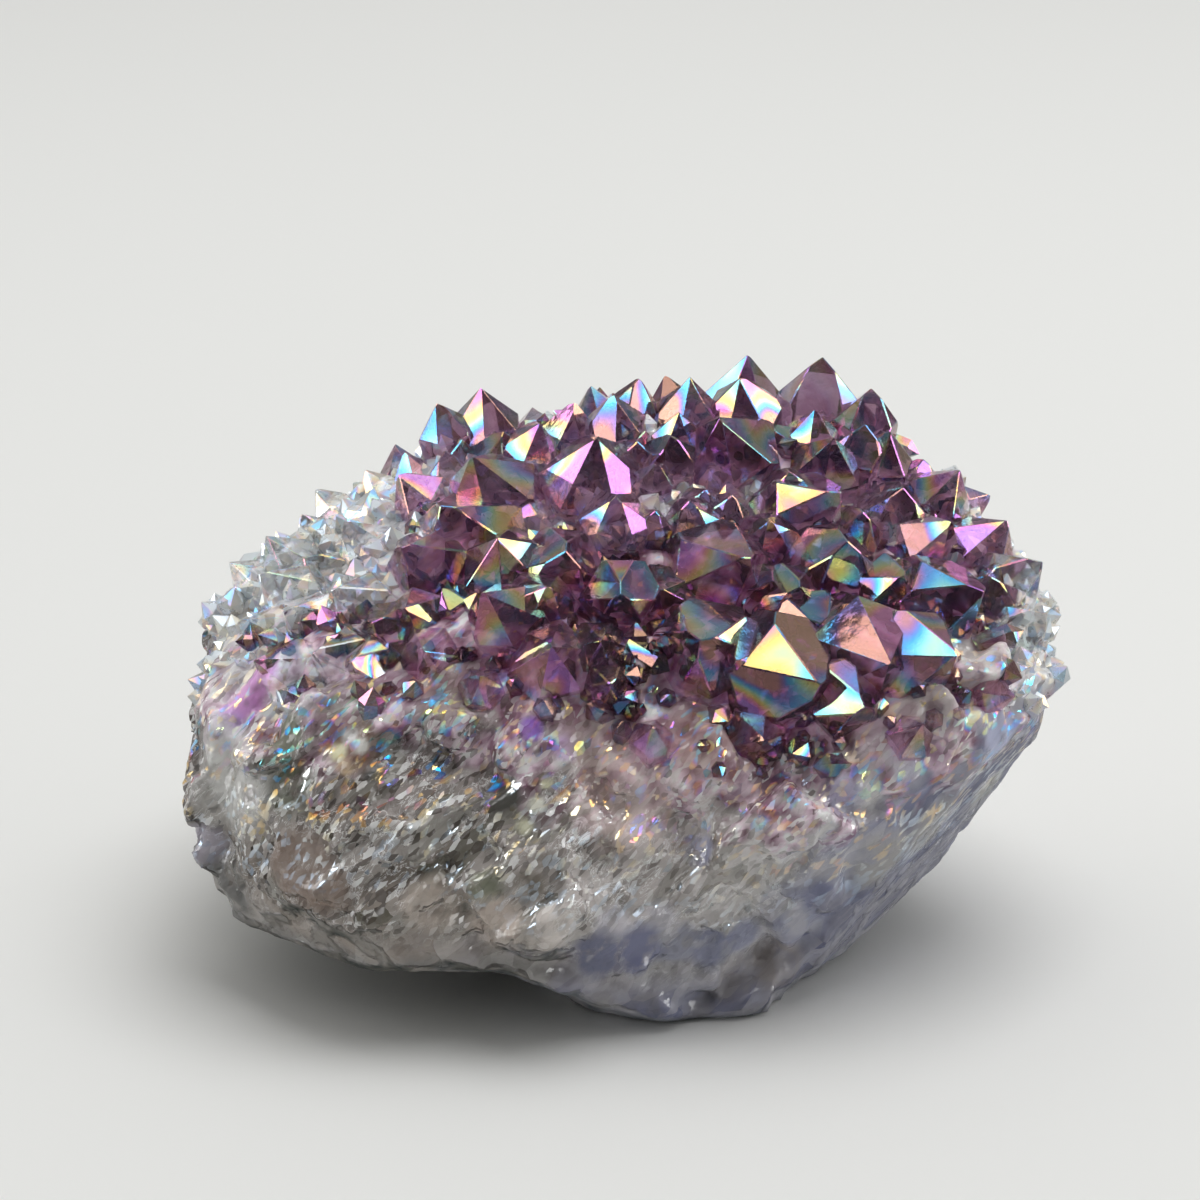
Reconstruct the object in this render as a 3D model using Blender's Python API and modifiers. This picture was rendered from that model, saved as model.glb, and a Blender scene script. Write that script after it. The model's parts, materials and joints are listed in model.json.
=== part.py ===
"""Amethyst cluster: a broken piece of geode wall, grown as one solid.

The stone is lofted through the outlines of its foot, its lower edge, its waist and the rim of its crown.
Quartz points stand on the crown. The larger ones are set out one by one, as they are seen from the front,
and smaller ones fill the gaps between them and cover the back. Everything is joined in one solid, because
the crystals grew together. Tables are in millimetres and degrees. +Z is up and the broken wall faces -Y.
"""

import math
import random

import bmesh
import bpy
from mathutils import Matrix, Vector, noise
from mathutils.bvhtree import BVHTree

MM = 0.001
SEED = 11

# One row for each bearing round the stone: 0 is the right side (+X) and -90 the front (-Y). The columns are
# the bearing, the foot's radius, then the radius and height of the wall's lower edge, of its waist and of
# the crown's rim.
STATIONS = (
    (-180.0, 14, 47.5, 11, 49.8, 27, 45.0, 38),
    (-157.5, 15, 49.5, 9, 51.3, 20, 43.5, 35.5),
    (-135.0, 16, 44.5, 9, 45.5, 19, 30, 39),
    (-112.5, 20, 36, 9.5, 37.5, 19, 24, 36.5),
    (-90.0, 26, 31, 3.5, 33, 17, 24, 34.5),
    (-67.5, 29, 30.5, 1.3, 32, 16, 28, 31.5),
    (-45.0, 28, 31.5, 3.2, 35, 16, 35, 31.5),
    (-22.5, 26, 35.5, 5, 43.5, 19, 44, 35),
    (0.0, 22, 41, 9, 48.5, 22, 50.5, 36.5),
    (22.5, 20, 39, 10, 46, 26, 48, 45),
    (45.0, 17, 34, 8, 42, 25, 43, 49),
    (67.5, 15, 31, 7, 38, 25, 38, 50.5),
    (90.0, 14, 30, 6, 38, 25, 37, 50.5),
    (112.5, 13, 33, 8, 40, 25, 38, 48.5),
    (135.0, 13, 38, 9, 46, 26, 42, 45),
    (157.5, 13, 44, 11, 49, 27, 45.5, 41),
)
SUMMIT = Vector((7.0, 19.0, 53.5))  # highest place of the crown under its crystals
SHOULDER_SHARE = 0.5  # how far the crown's shoulder stands from the rim towards the summit
SHOULDER_SWELL = 2.0  # how far the shoulder stands above the straight line from rim to summit
FOOT_SINK = 1.0  # the foot is modelled this far too low, and is then cut off flat
BEARING_STEPS = 64
RISE_STEPS = 6

# The broken faces of the quartz: (size across, how steeply each is tipped, how far they stand out or in)
FACETS = ((15.0, 0.17, 0.6), (6.0, 0.34, 0.5))
UNDERSIDE_WEAR = 0.8  # how much of that is missing under the stone
# Two larger flat breaks, at the lower right and the lower left: (a place on it, the way that it faces)
BREAKS = (
    ((31.5, -21.1, 16.1), (0.72, -0.52, -0.46)),
    ((-35.0, -27.0, 9.0), (-0.50, -0.76, -0.42)),
)
STONE_VOXEL = 1.1
STONE_TRIANGLES = 2700

# Quartz's own angle between a crystal's axis and the normal of each face of its point.
POINT_SLOPE = math.radians(51.8)

# The eye that the larger points are set out from, its height above level and its picture, which is
# 1200 units square and shows the stone at 0.12 mm a unit.
EYE_ELEVATION = math.radians(22.0)
EYE_DISTANCE = 400.0
EYE_AIM = Vector((-2.4, 0.0, 41.7))
PICTURE_CENTRE = 600.0
MM_PER_UNIT = 0.12
SEARCH_DEPTH = 70.0  # a line of sight is followed this far before and behind the aim
MARCH = 0.4  # in steps of this length

# The larger points. Each is seen at (px, py) in the picture. Then come its width, how far its tip stands
# out, how far it nods towards the eye and leans to the right from upright, and how far it is turned from
# having one face straight towards the eye.
POINTS = (
    (597, 437, 12.5, 9.0, 28, 2, -5),
    (473, 457, 10.5, 9.0, 30, -18, 8),
    (481, 388, 9.5, 8.0, 10, -4, 28),
    (438, 403, 6.5, 6.5, 12, -14, 10),
    (541, 424, 6.5, 6.0, 22, 14, 25),
    (574, 403, 9.0, 6.5, 8, 4, 0),
    (614, 395, 8.5, 6.5, 15, -4, 20),
    (638, 378, 6.0, 6.5, 2, 10, 30),
    (637, 441, 7.5, 5.5, 24, 6, 12),
    (679, 412, 6.0, 5.5, 20, 0, 0),
    (690, 377, 7.5, 7.0, 4, 0, 15),
    (747, 355, 10.0, 8.5, 4, 4, 4),
    (740, 378, 9.0, 7.5, 24, -4, 4),
    (719, 418, 12.0, 8.5, 36, -9, 22),
    (657, 464, 4.5, 5.0, 25, 4, 30),
    (670, 437, 7.0, 6.0, 30, 0, 26),
    (706, 490, 6.0, 5.0, 32, 6, 6),
    (689, 502, 6.5, 5.5, 34, -6, -8),
    (616, 497, 8.5, 7.0, 34, 0, -4),
    (655, 511, 4.5, 4.5, 30, 8, 12),
    (732, 494, 5.0, 5.0, 26, 10, 24),
    (823, 357, 9.5, 8.5, 4, 4, -6),
    (872, 388, 8.0, 7.5, 4, 8, 12),
    (833, 438, 9.0, 7.0, 28, 6, 30),
    (866, 424, 7.0, 6.0, 14, 8, 0),
    (890, 431, 8.0, 7.0, 16, 10, 22),
    (842, 490, 11.0, 7.5, 40, 34, 14),
    (863, 512, 7.5, 6.5, 34, 14, 28),
    (847, 539, 12.5, 8.0, 36, 10, 27),
    (905, 486, 12.0, 7.0, 28, 8, 8),
    (951, 522, 8.0, 6.0, 34, 26, 18),
    (484, 592, 9.0, 7.0, 34, -24, 12),
    (549, 588, 8.5, 6.5, 44, 10, 26),
    (566, 553, 11.0, 7.0, 46, 6, 8),
    (497, 538, 10.0, 6.5, 34, -8, 16),
    (440, 505, 17.0, 8.0, 36, -20, 4),
    (400, 550, 11.0, 6.0, 44, -26, 20),
    (621, 593, 8.5, 7.0, 66, 0, 30),
    (601, 640, 6.0, 5.0, 56, 6, 26),
    (551, 646, 9.5, 6.5, 50, 2, 22),
    (612, 684, 6.0, 4.5, 64, 6, 4),
    (752, 558, 14.0, 9.0, 50, 22, 12),
    (700, 640, 13.0, 7.5, 56, -6, 22),
    (772, 580, 7.5, 6.0, 46, 12, 20),
    (822, 688, 14.0, 8.0, 74, 24, 32),
    (736, 660, 9.0, 6.5, 66, -14, 10),
    (800, 588, 9.0, 6.0, 52, 8, 20),
    (822, 625, 8.5, 6.0, 66, 12, 26),
    (890, 664, 12.0, 7.5, 74, 16, 30),
    (866, 708, 9.5, 6.0, 78, 20, 10),
    (957, 656, 11.0, 5.5, 66, 34, 24),
    (985, 588, 12.0, 6.5, 50, 40, 8),
    (1008, 522, 9.0, 6.0, 24, 30, 16),
    (1042, 560, 8.0, 6.0, 24, 44, 0),
    (905, 575, 8.0, 5.5, 50, 14, 20),
    (770, 520, 8.0, 6.0, 38, 0, 14),
    (690, 560, 8.0, 5.0, 44, -4, 4),
    (660, 590, 9.0, 5.0, 50, -8, 20),
    (960, 470, 8.0, 4.5, 20, 26, 10),
    (790, 470, 7.5, 6.0, 30, -2, 10),
    (765, 740, 8.0, 4.5, 70, 4, 12),
    (1048, 614, 8.0, 4.0, 20, 50, 10),
    (366, 470, 5.0, 3.0, 0, -30, 10),
    (405, 452, 6.0, 3.0, 0, -20, 20),
    (300, 515, 6.0, 3.0, 10, -30, 0),
    (229, 562, 7.0, 3.5, 10, -45, 25),
    (266, 536, 7.0, 3.5, 10, -35, 5),
    (258, 574, 8.0, 4.0, 20, -45, 10),
    (303, 558, 7.5, 4.0, 25, -35, 20),
    (342, 522, 8.5, 4.5, 15, -30, 5),
    (236, 622, 8.0, 3.5, 25, -55, 15),
    (282, 612, 9.0, 4.0, 40, -40, 0),
    (332, 590, 9.0, 4.5, 40, -30, 25),
    (372, 622, 8.0, 4.0, 50, -25, 10),
    (312, 652, 8.0, 3.5, 50, -40, 20),
    (254, 660, 7.5, 3.5, 40, -50, 5),
    (405, 608, 8.0, 4.0, 50, -15, 0),
    (352, 662, 7.0, 3.0, 60, -20, 15),
    (422, 650, 7.0, 3.5, 55, -10, 25),
)
ROOT_LENGTH = 13.0  # how far a point's prism goes down into the stone

# The smaller points: (how many are tried, least and greatest width, nearest and farthest share of the way
# from the summit to the rim).
FILLERS = ((160, 6.5, 9.0, 0.05, 0.72), (900, 4.0, 6.0, 0.1, 1.0))
MOST_FILLERS = 112
CLEARANCE = 0.46  # share of two points' mean width that their tips keep apart
FILLER_STAND = (0.62, 0.85)  # how far a small point stands out, as a share of its width
FILLER_TILT = 16.0


def metres(vector):
    return vector * MM


def clear_scene():
    for obj in list(bpy.data.objects):
        bpy.data.objects.remove(obj)


def new_collection(name):
    collection = bpy.data.collections.new(name)
    bpy.context.scene.collection.children.link(collection)
    return collection


def blend4(before, start, end, after, share):
    """The value at a share of the way from start to end on a smooth curve through all four."""
    square, cube = share * share, share * share * share
    return 0.5 * (
        2 * start
        + (end - before) * share
        + (2 * before - 5 * start + 4 * end - after) * square
        + (3 * start - before - 3 * end + after) * cube
    )


def station_at(bearing):
    """The columns of STATIONS at any bearing, on a smooth closed curve through the rows."""
    spacing = STATIONS[1][0] - STATIONS[0][0]
    place = ((bearing + 180.0) % 360.0) / spacing
    first = int(place)
    rows = [STATIONS[(first + step) % len(STATIONS)] for step in (-1, 0, 1, 2)]
    return [blend4(*(row[column] for row in rows), place - first) for column in range(1, 8)]


def profile_at(bearing):
    """The corner points of the stone's section at a bearing, from the foot's outline up to the summit."""
    foot, edge_r, edge_z, waist_r, waist_z, rim_r, rim_z = station_at(bearing)
    turn = math.radians(bearing)
    out = Vector((math.cos(turn), math.sin(turn), 0.0))
    up = Vector((0.0, 0.0, 1.0))
    rim = out * rim_r + up * rim_z
    shoulder = rim.lerp(SUMMIT, SHOULDER_SHARE) + up * SHOULDER_SWELL
    return [
        out * foot - up * FOOT_SINK,
        out * edge_r + up * edge_z,
        out * waist_r + up * waist_z,
        rim,
        shoulder,
        SUMMIT.copy(),
    ]


def profile_points(bearing):
    """The section at a bearing as a row of points, summit left out: straight under the stone, then curved."""
    foot, edge, *above = profile_at(bearing)
    over_summit = profile_at(bearing + 180.0)[-2]
    curve = [edge * 2 - above[0], edge, *above, over_summit]
    found = [foot.lerp(edge, step / RISE_STEPS) for step in range(RISE_STEPS)]
    for first in range(1, len(curve) - 2):
        for step in range(RISE_STEPS):
            found.append(blend4(*curve[first - 1:first + 3], step / RISE_STEPS))
    return found


def lofted_stone():
    """The smooth stone before its lumps, closed by a fan at the foot and at the summit."""
    mesh = bmesh.new()
    rings = []
    for step in range(BEARING_STEPS):
        bearing = 360.0 * step / BEARING_STEPS - 180.0
        rings.append([mesh.verts.new(metres(point)) for point in profile_points(bearing)])
    foot_centre = mesh.verts.new(metres(Vector((0.0, 0.0, -FOOT_SINK))))
    summit = mesh.verts.new(metres(SUMMIT))
    for here, after in zip(rings, rings[1:] + rings[:1]):
        for low in range(len(here) - 1):
            mesh.faces.new((here[low], after[low], after[low + 1], here[low + 1]))
        mesh.faces.new((foot_centre, after[0], here[0]))
        mesh.faces.new((summit, here[-1], after[-1]))
    bmesh.ops.recalc_face_normals(mesh, faces=mesh.faces)
    data = bpy.data.meshes.new("loft")
    mesh.to_mesh(data)
    mesh.free()
    return data


def evaluated_mesh(obj, name):
    """A plain copy of an object's mesh as its modifiers leave it."""
    graph = bpy.context.evaluated_depsgraph_get()
    return bpy.data.meshes.new_from_object(obj.evaluated_get(graph), depsgraph=graph).copy()


def baked(obj):
    """Puts the result of the object's modifiers in its own mesh and takes them off."""
    done = evaluated_mesh(obj, obj.name)
    obj.modifiers.clear()
    obj.data = done
    done.name = obj.name
    return obj


def facet_height(place, normal):
    """How far the broken surface stands out at a place in mm: flat faces, each tipped its own way."""
    height = 0.0
    for size, tip, step in FACETS:
        centre = noise.voronoi(place / size)[1][0]
        own = noise.cell_vector(centre * 97.0) * 2.0 - Vector((1.0, 1.0, 1.0))
        height += (place - centre * size).dot(own) * tip + own.x * step
    return height * (1.0 - UNDERSIDE_WEAR * max(0.0, -normal.z))


def even_faces(obj):
    """Meshes an object again in small even faces, with nothing folded through itself."""
    remesh = obj.modifiers.new("even faces", "REMESH")
    remesh.mode = "VOXEL"
    remesh.voxel_size = STONE_VOXEL * MM
    baked(obj)


def stone_object(collection):
    stone = bpy.data.objects.new("amethyst_cluster", lofted_stone())
    collection.objects.link(stone)
    even_faces(stone)
    for vertex, normal in zip(stone.data.vertices, [vert.normal.copy() for vert in stone.data.vertices]):
        vertex.co += normal * facet_height(vertex.co / MM, normal) * MM
    even_faces(stone)
    thin = stone.modifiers.new("fewer faces", "DECIMATE")
    thin.ratio = STONE_TRIANGLES / (2.0 * len(stone.data.polygons))
    baked(stone)
    for place, facing in BREAKS:
        cut_object(stone, Vector(place), Vector(facing))
    return stone


def cut(mesh, inside, normal):
    """Takes off everything past a plane and closes the cut with one flat face."""
    geometry = mesh.verts[:] + mesh.edges[:] + mesh.faces[:]
    made = bmesh.ops.bisect_plane(
        mesh, geom=geometry, plane_co=inside, plane_no=normal, clear_outer=True, dist=1e-7
    )
    edges = [part for part in made["geom_cut"] if isinstance(part, bmesh.types.BMEdge)]
    if edges:
        bmesh.ops.edgeloop_fill(mesh, edges=edges)


def cut_object(obj, place, facing):
    """Breaks an object off flat past a plane, given in mm."""
    mesh = bmesh.new()
    mesh.from_mesh(obj.data)
    cut(mesh, metres(place), facing)
    bmesh.ops.triangulate(mesh, faces=mesh.faces)
    mesh.to_mesh(obj.data)
    mesh.free()


def crystal_mesh(width, length, draw):
    """A six-sided quartz prism with its point at the origin, cut out of a block by its growth faces."""
    mesh = bmesh.new()
    bmesh.ops.create_cube(mesh, size=1.0)
    reach = width * 1.2
    bmesh.ops.scale(mesh, vec=(2 * reach, 2 * reach, length + reach), verts=mesh.verts)
    bmesh.ops.translate(mesh, vec=(0.0, 0.0, (reach - length) / 2), verts=mesh.verts)
    minor = draw.uniform(0.0, 0.11) * width
    for side in range(6):
        turn = math.radians(60.0 * side)
        flat = Vector((math.cos(turn), math.sin(turn), 0.0))
        cut(mesh, flat * width * draw.uniform(0.44, 0.53), flat)
        slope = flat * math.sin(POINT_SLOPE) + Vector((0, 0, math.cos(POINT_SLOPE)))
        back_off = minor if side % 2 else draw.uniform(0.0, 0.05) * width
        cut(mesh, slope * back_off, slope)
    bmesh.ops.translate(mesh, vec=(0, 0, -max(vert.co.z for vert in mesh.verts)), verts=mesh.verts)
    bmesh.ops.recalc_face_normals(mesh, faces=mesh.faces)
    data = bpy.data.meshes.new("crystal")
    mesh.to_mesh(data)
    mesh.free()
    return data


def axis_from(nod, lean):
    """The direction of a crystal that nods towards the eye and leans to the right."""
    nod, lean = math.radians(nod), math.radians(lean)
    return Vector((math.sin(lean), -math.sin(nod) * math.cos(lean), math.cos(nod) * math.cos(lean)))


def crystal_frame(tip, axis, twist):
    """The matrix that puts a crystal's point at tip, with one face turned twist degrees from the eye."""
    towards = Vector((0.0, -math.cos(EYE_ELEVATION), math.sin(EYE_ELEVATION)))
    side = axis.cross(towards)
    if side.length < 0.05:
        side = axis.cross(Vector((1.0, 0.0, 0.0)))
    side.normalize()
    ahead = side.cross(axis).normalized()
    frame = Matrix((ahead, side, axis)).transposed().to_4x4()
    return Matrix.Translation(tip) @ frame @ Matrix.Rotation(math.radians(twist), 4, "Z")


def add_crystal(collection, tip, axis, width, twist, draw):
    length = ROOT_LENGTH if width > 5.0 else ROOT_LENGTH * 0.6
    number = len(collection.objects)
    crystal = bpy.data.objects.new(f"crystal_{number:03d}", crystal_mesh(width, length, draw))
    crystal.data.transform(Matrix.Scale(MM, 4) @ crystal_frame(tip, axis, twist))
    crystal.hide_render = True
    crystal.display_type = "WIRE"
    collection.objects.link(crystal)


def sight_line(px, py):
    """The eye's place in mm, and the direction in which it sees a place of the picture."""
    right = Vector((1.0, 0.0, 0.0))
    up = Vector((0.0, math.sin(EYE_ELEVATION), math.cos(EYE_ELEVATION)))
    ahead = Vector((0.0, math.cos(EYE_ELEVATION), -math.sin(EYE_ELEVATION)))
    eye = EYE_AIM - ahead * EYE_DISTANCE
    across, above = (px - PICTURE_CENTRE) * MM_PER_UNIT, (PICTURE_CENTRE - py) * MM_PER_UNIT
    return eye, (ahead * EYE_DISTANCE + right * across + up * above).normalized()


def tip_seen_at(surface, px, py, stand):
    """Where a tip is that is seen at a place of the picture and stands out from the stone, or comes nearest."""
    eye, ahead = sight_line(px, py)
    best = None
    for step in range(round(2 * SEARCH_DEPTH / MARCH)):
        place = eye + ahead * (EYE_DISTANCE - SEARCH_DEPTH + MARCH * step)
        gap = surface.find_nearest(metres(place))[3] / MM
        if best is None or gap < best[0]:
            best = (gap, place)
        if gap <= stand:
            break
    return best[1]


def add_larger_points(collection, surface, draw):
    placed = []
    for px, py, width, stand, nod, lean, twist in POINTS:
        tip = tip_seen_at(surface, px, py, stand)
        add_crystal(collection, tip, axis_from(nod, lean), width, twist, draw)
        placed.append((tip, width))
    return placed


def crown_place(surface, bearing, share):
    """A place on the crown and its normal, a share of the way from the summit to the rim."""
    rim, shoulder = profile_at(bearing)[3:5]
    if share < SHOULDER_SHARE:
        place = SUMMIT.lerp(shoulder, share / SHOULDER_SHARE)
    else:
        place = shoulder.lerp(rim, (share - SHOULDER_SHARE) / (1 - SHOULDER_SHARE))
    near, normal = surface.find_nearest(metres(place))[:2]
    return near / MM, normal


def add_smaller_points(collection, surface, placed, draw):
    placed = list(placed)
    made = 0
    for tries, least, most, nearest, farthest in FILLERS:
        for _ in range(tries):
            if made >= MOST_FILLERS:
                return
            share = math.sqrt(draw.uniform(nearest ** 2, farthest ** 2))
            width = draw.uniform(least, most)
            place, normal = crown_place(surface, draw.uniform(-180.0, 180.0), share)
            tilt = Vector([draw.gauss(0.0, math.radians(FILLER_TILT)) for _ in range(3)])
            axis = (normal + Vector((0, 0, 0.35)) + tilt).normalized()
            tip = place + axis * width * draw.uniform(*FILLER_STAND)
            twist = draw.uniform(0.0, 60.0)
            if any((tip - other).length < CLEARANCE * (width + wide) for other, wide in placed):
                continue
            add_crystal(collection, tip, axis, width, twist, draw)
            placed.append((tip, width))
            made += 1


def join_all(stone, crystals):
    union = stone.modifiers.new("grown together", "BOOLEAN")
    union.operation = "UNION"
    union.operand_type = "COLLECTION"
    union.collection = crystals
    union.solver = "EXACT"
    return baked(stone)


def keep_largest_shell(stone):
    """Fills the closed hollows left between crystals, by removing every surface but the outer one."""
    mesh = bmesh.new()
    mesh.from_mesh(stone.data)
    left, shells = set(mesh.verts), []
    while left:
        shell = [left.pop()]
        for vert in shell:
            near = [edge.other_vert(vert) for edge in vert.link_edges]
            shell += [other for other in near if other in left]
            left.difference_update(near)
        shells.append(shell)
    shells.sort(key=len)
    for shell in shells[:-1]:
        bmesh.ops.delete(mesh, geom=shell, context="VERTS")
    mesh.to_mesh(stone.data)
    mesh.free()


def centre_on_origin(stone):
    """Moves the stone so that the origin is at the middle of its bounding box's floor."""
    xs, ys, _ = zip(*(vertex.co for vertex in stone.data.vertices))
    middle = Vector(((min(xs) + max(xs)) / 2, (min(ys) + max(ys)) / 2, 0.0))
    stone.data.transform(Matrix.Translation(-middle))


def quartz_material():
    """Amethyst under a thin metal-oxide film: plum, glossy and partly clear."""
    material = bpy.data.materials.new("amethyst")
    material.use_nodes = True
    shader = material.node_tree.nodes["Principled BSDF"]
    shader.inputs["Base Color"].default_value = (0.24, 0.15, 0.26, 1.0)
    shader.inputs["Roughness"].default_value = 0.12
    shader.inputs["Metallic"].default_value = 0.0
    return material


def main():
    clear_scene()
    draw = random.Random(SEED)
    cluster = new_collection("aura amethyst cluster")
    crystals = new_collection("crystals")
    stone = stone_object(cluster)
    surface = BVHTree.FromPolygons(
        [vertex.co for vertex in stone.data.vertices],
        [polygon.vertices for polygon in stone.data.polygons],
    )
    placed = add_larger_points(crystals, surface, draw)
    add_smaller_points(crystals, surface, placed, draw)
    join_all(stone, crystals)
    keep_largest_shell(stone)
    cut_object(stone, Vector((0, 0, 0)), Vector((0, 0, -1)))
    centre_on_origin(stone)
    stone.data.materials.clear()
    stone.data.materials.append(quartz_material())


if __name__ == "__main__":
    main()
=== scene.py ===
"""Amethyst cluster under an iridescent film: a broken piece of geode wall with a crown of quartz points.

The stone is made again here from the same outlines as its CAD solid, in finer grain: the broken quartz
wall, the amethyst points that stand on it, and the small crystals that fill the gaps between them. Tables
and shape functions are in millimetres and degrees, and each mesh is turned to metres when it is made.
+Z is up, and the broken wall faces -Y, towards the camera.
"""

import json
import math
import random

import bmesh
import bpy
import numpy as np
from mathutils import Matrix, Vector, noise
from mathutils.bvhtree import BVHTree

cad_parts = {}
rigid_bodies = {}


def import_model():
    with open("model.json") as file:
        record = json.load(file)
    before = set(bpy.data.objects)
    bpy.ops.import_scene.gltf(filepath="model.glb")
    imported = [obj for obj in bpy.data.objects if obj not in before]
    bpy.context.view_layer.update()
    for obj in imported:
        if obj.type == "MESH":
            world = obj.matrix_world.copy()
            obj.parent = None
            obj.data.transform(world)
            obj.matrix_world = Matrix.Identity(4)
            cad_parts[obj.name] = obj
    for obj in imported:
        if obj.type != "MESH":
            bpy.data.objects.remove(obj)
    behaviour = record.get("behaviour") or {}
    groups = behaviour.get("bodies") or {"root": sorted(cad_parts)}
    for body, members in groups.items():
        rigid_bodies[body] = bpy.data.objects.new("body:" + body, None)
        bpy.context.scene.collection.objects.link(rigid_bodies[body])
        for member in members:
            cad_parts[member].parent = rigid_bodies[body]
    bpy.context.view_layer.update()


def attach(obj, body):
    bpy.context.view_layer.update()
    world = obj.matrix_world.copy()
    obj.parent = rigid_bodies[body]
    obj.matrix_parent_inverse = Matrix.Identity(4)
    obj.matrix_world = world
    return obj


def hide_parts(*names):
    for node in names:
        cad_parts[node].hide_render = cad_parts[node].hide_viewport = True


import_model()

bl_info = {
    "name": "Amethyst Cluster",
    "version": (1, 0, 0),
    "blender": (4, 5, 0),
    "location": "View3D > Sidebar > Amethyst",
    "description": "Builds a broken piece of geode wall with a crown of film-coated amethyst points",
    "category": "Add Mesh",
}

NODE = "amethyst_cluster"
MM = 0.001
SEED = 11

# Where the CAD solid's own middle lies in the frame that the tables are written in.
MIDDLE = Vector((0.552, 2.4815, 0.0))

# One row for each bearing round the stone: 0 is the right side (+X) and -90 the front (-Y). The columns are
# the bearing, the foot's radius, then the radius and height of the wall's lower edge, of its waist and of
# the crown's rim.
STATIONS = (
    (-180.0, 14, 47.5, 11, 49.8, 27, 45.0, 38),
    (-157.5, 15, 49.5, 9, 51.3, 20, 43.5, 35.5),
    (-135.0, 16, 44.5, 9, 45.5, 19, 30, 39),
    (-112.5, 20, 36, 9.5, 37.5, 19, 24, 36.5),
    (-90.0, 26, 31, 3.5, 33, 17, 24, 34.5),
    (-67.5, 29, 30.5, 1.3, 32, 16, 28, 31.5),
    (-45.0, 28, 31.5, 3.2, 35, 16, 35, 31.5),
    (-22.5, 26, 35.5, 5, 43.5, 19, 44, 35),
    (0.0, 22, 41, 9, 48.5, 22, 50.5, 36.5),
    (22.5, 20, 39, 10, 46, 26, 48, 45),
    (45.0, 17, 34, 8, 42, 25, 43, 49),
    (67.5, 15, 31, 7, 38, 25, 38, 50.5),
    (90.0, 14, 30, 6, 38, 25, 37, 50.5),
    (112.5, 13, 33, 8, 40, 25, 38, 48.5),
    (135.0, 13, 38, 9, 46, 26, 42, 45),
    (157.5, 13, 44, 11, 49, 27, 45.5, 41),
)

# The crown's summit, the shoulder half way to it from the rim, how far the foot goes on under the table
# before it is cut, and how fine the loft is
SUMMIT = Vector((7.0, 19.0, 53.5))
SHOULDER_SHARE = 0.5
SHOULDER_SWELL = 2.0
FOOT_SINK = 1.0
BEARING_STEPS = 64
RISE_STEPS = 6

# The broken faces of the quartz: (size across, how steeply each is tipped, how far they stand out or in)
FACETS = ((15.0, 0.17, 0.6), (6.0, 0.34, 0.5))
UNDERSIDE_WEAR = 0.8

# Flat breaks: a place on each, in mm, and which way it faces
BREAKS = (
    ((31.5, -21.1, 16.1), (0.72, -0.52, -0.46)),
    ((-35.0, -27.0, 9.0), (-0.50, -0.76, -0.42)),
)

# The plain stone's grain in mm, and how many triangles it keeps
STONE_VOXEL = 1.1
STONE_TRIANGLES = 2700

# The splinters on those faces, drawn out along the way that the quartz grew, and the skin's knobs
SPLINTERS = ((4.2, 0.15, 0.05), (1.9, 0.16, 0.03))
GROWTH = Vector((0.67, 0.49, 0.56))
GROWTH_STRETCH = 2.2
WEAR_STEPS = 8
SKIN_KNOBS = ((3.0, 0.16), (1.1, 0.08))

# Knobs come this near to the skin in mm, or where a face looks this far down. Splinters start deeper and grow
# over some mm more, and are low under the crown's points. The resting face and what is near it stay smooth.
KNOB_DEPTH = 0.6
KNOB_FACING = -0.55
SPLINTER_DEPTH = 3.0
SPLINTER_FADE = 2.0
CROWN_START = -1.5
CROWN_SHARE = 0.3
SMOOTH_FOOT = 0.8

# The angle between a crystal's axis and the way that its end faces look, as in all quartz
POINT_SLOPE = math.radians(51.8)

# The photograph's camera: its height above level, its distance, what it looks at, and its picture, which is
# 1200 units square and shows the stone at 0.12 mm a unit.
EYE_ELEVATION = math.radians(22.0)
EYE_DISTANCE = 400.0
EYE_AIM = Vector((-2.4, 0.0, 41.7))
EYE_AHEAD = Vector((0.0, math.cos(EYE_ELEVATION), -math.sin(EYE_ELEVATION)))
EYE_UP = Vector((0.0, math.sin(EYE_ELEVATION), math.cos(EYE_ELEVATION)))
EYE_PLACE = EYE_AIM - EYE_AHEAD * EYE_DISTANCE
PICTURE_CENTRE = 600.0
MM_PER_UNIT = 0.12
SEARCH_DEPTH = 70.0
MARCH = 0.4

# Where pale small crystals grow: between two bearings, fading over some degrees, from so many mm under the
# rim to so many above it.
RIM_DRUSE = (
    (130.0, 178.0, 14.0, 7.0, 9.0),
    (178.0, 205.0, 12.0, 2.5, 3.0),
    (-8.0, 62.0, 10.0, 6.0, 5.0),
    (62.0, 130.0, 10.0, 6.0, 5.0),
)

# The studio's light panels: name, place, aim and size in metres, the setting with its power, and whether
# only reflections show it
PANELS = (
    ("left panel", (-0.62, -0.05, 0.26), (0, 0, 0.06), (0.70, 0.50), "side_power", True),
    ("right panel", (0.62, -0.05, 0.26), (0, 0, 0.06), (0.70, 0.50), "side_power", True),
    ("upper panel", (-0.40, -0.22, 0.85), (0, 0, 0.05), (0.42, 0.42), "upper_power", True),
    ("top panel", (0.20, 0.14, 1.1), (0, -0.05, 0), (0.8, 0.8), "top_power", False),
)
PAPER_REACH = 1.5

# Which way the photographer stands, who keeps light from the stone
PHOTOGRAPHER = (0.0, -0.94, 0.34)

# The share of the paper's light that reaches the overhanging wall
WALL_LIGHT = 0.53

# How soon a single mark fades at its edge: 1 is from its middle on
MARK_EDGE = 2.4

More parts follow.
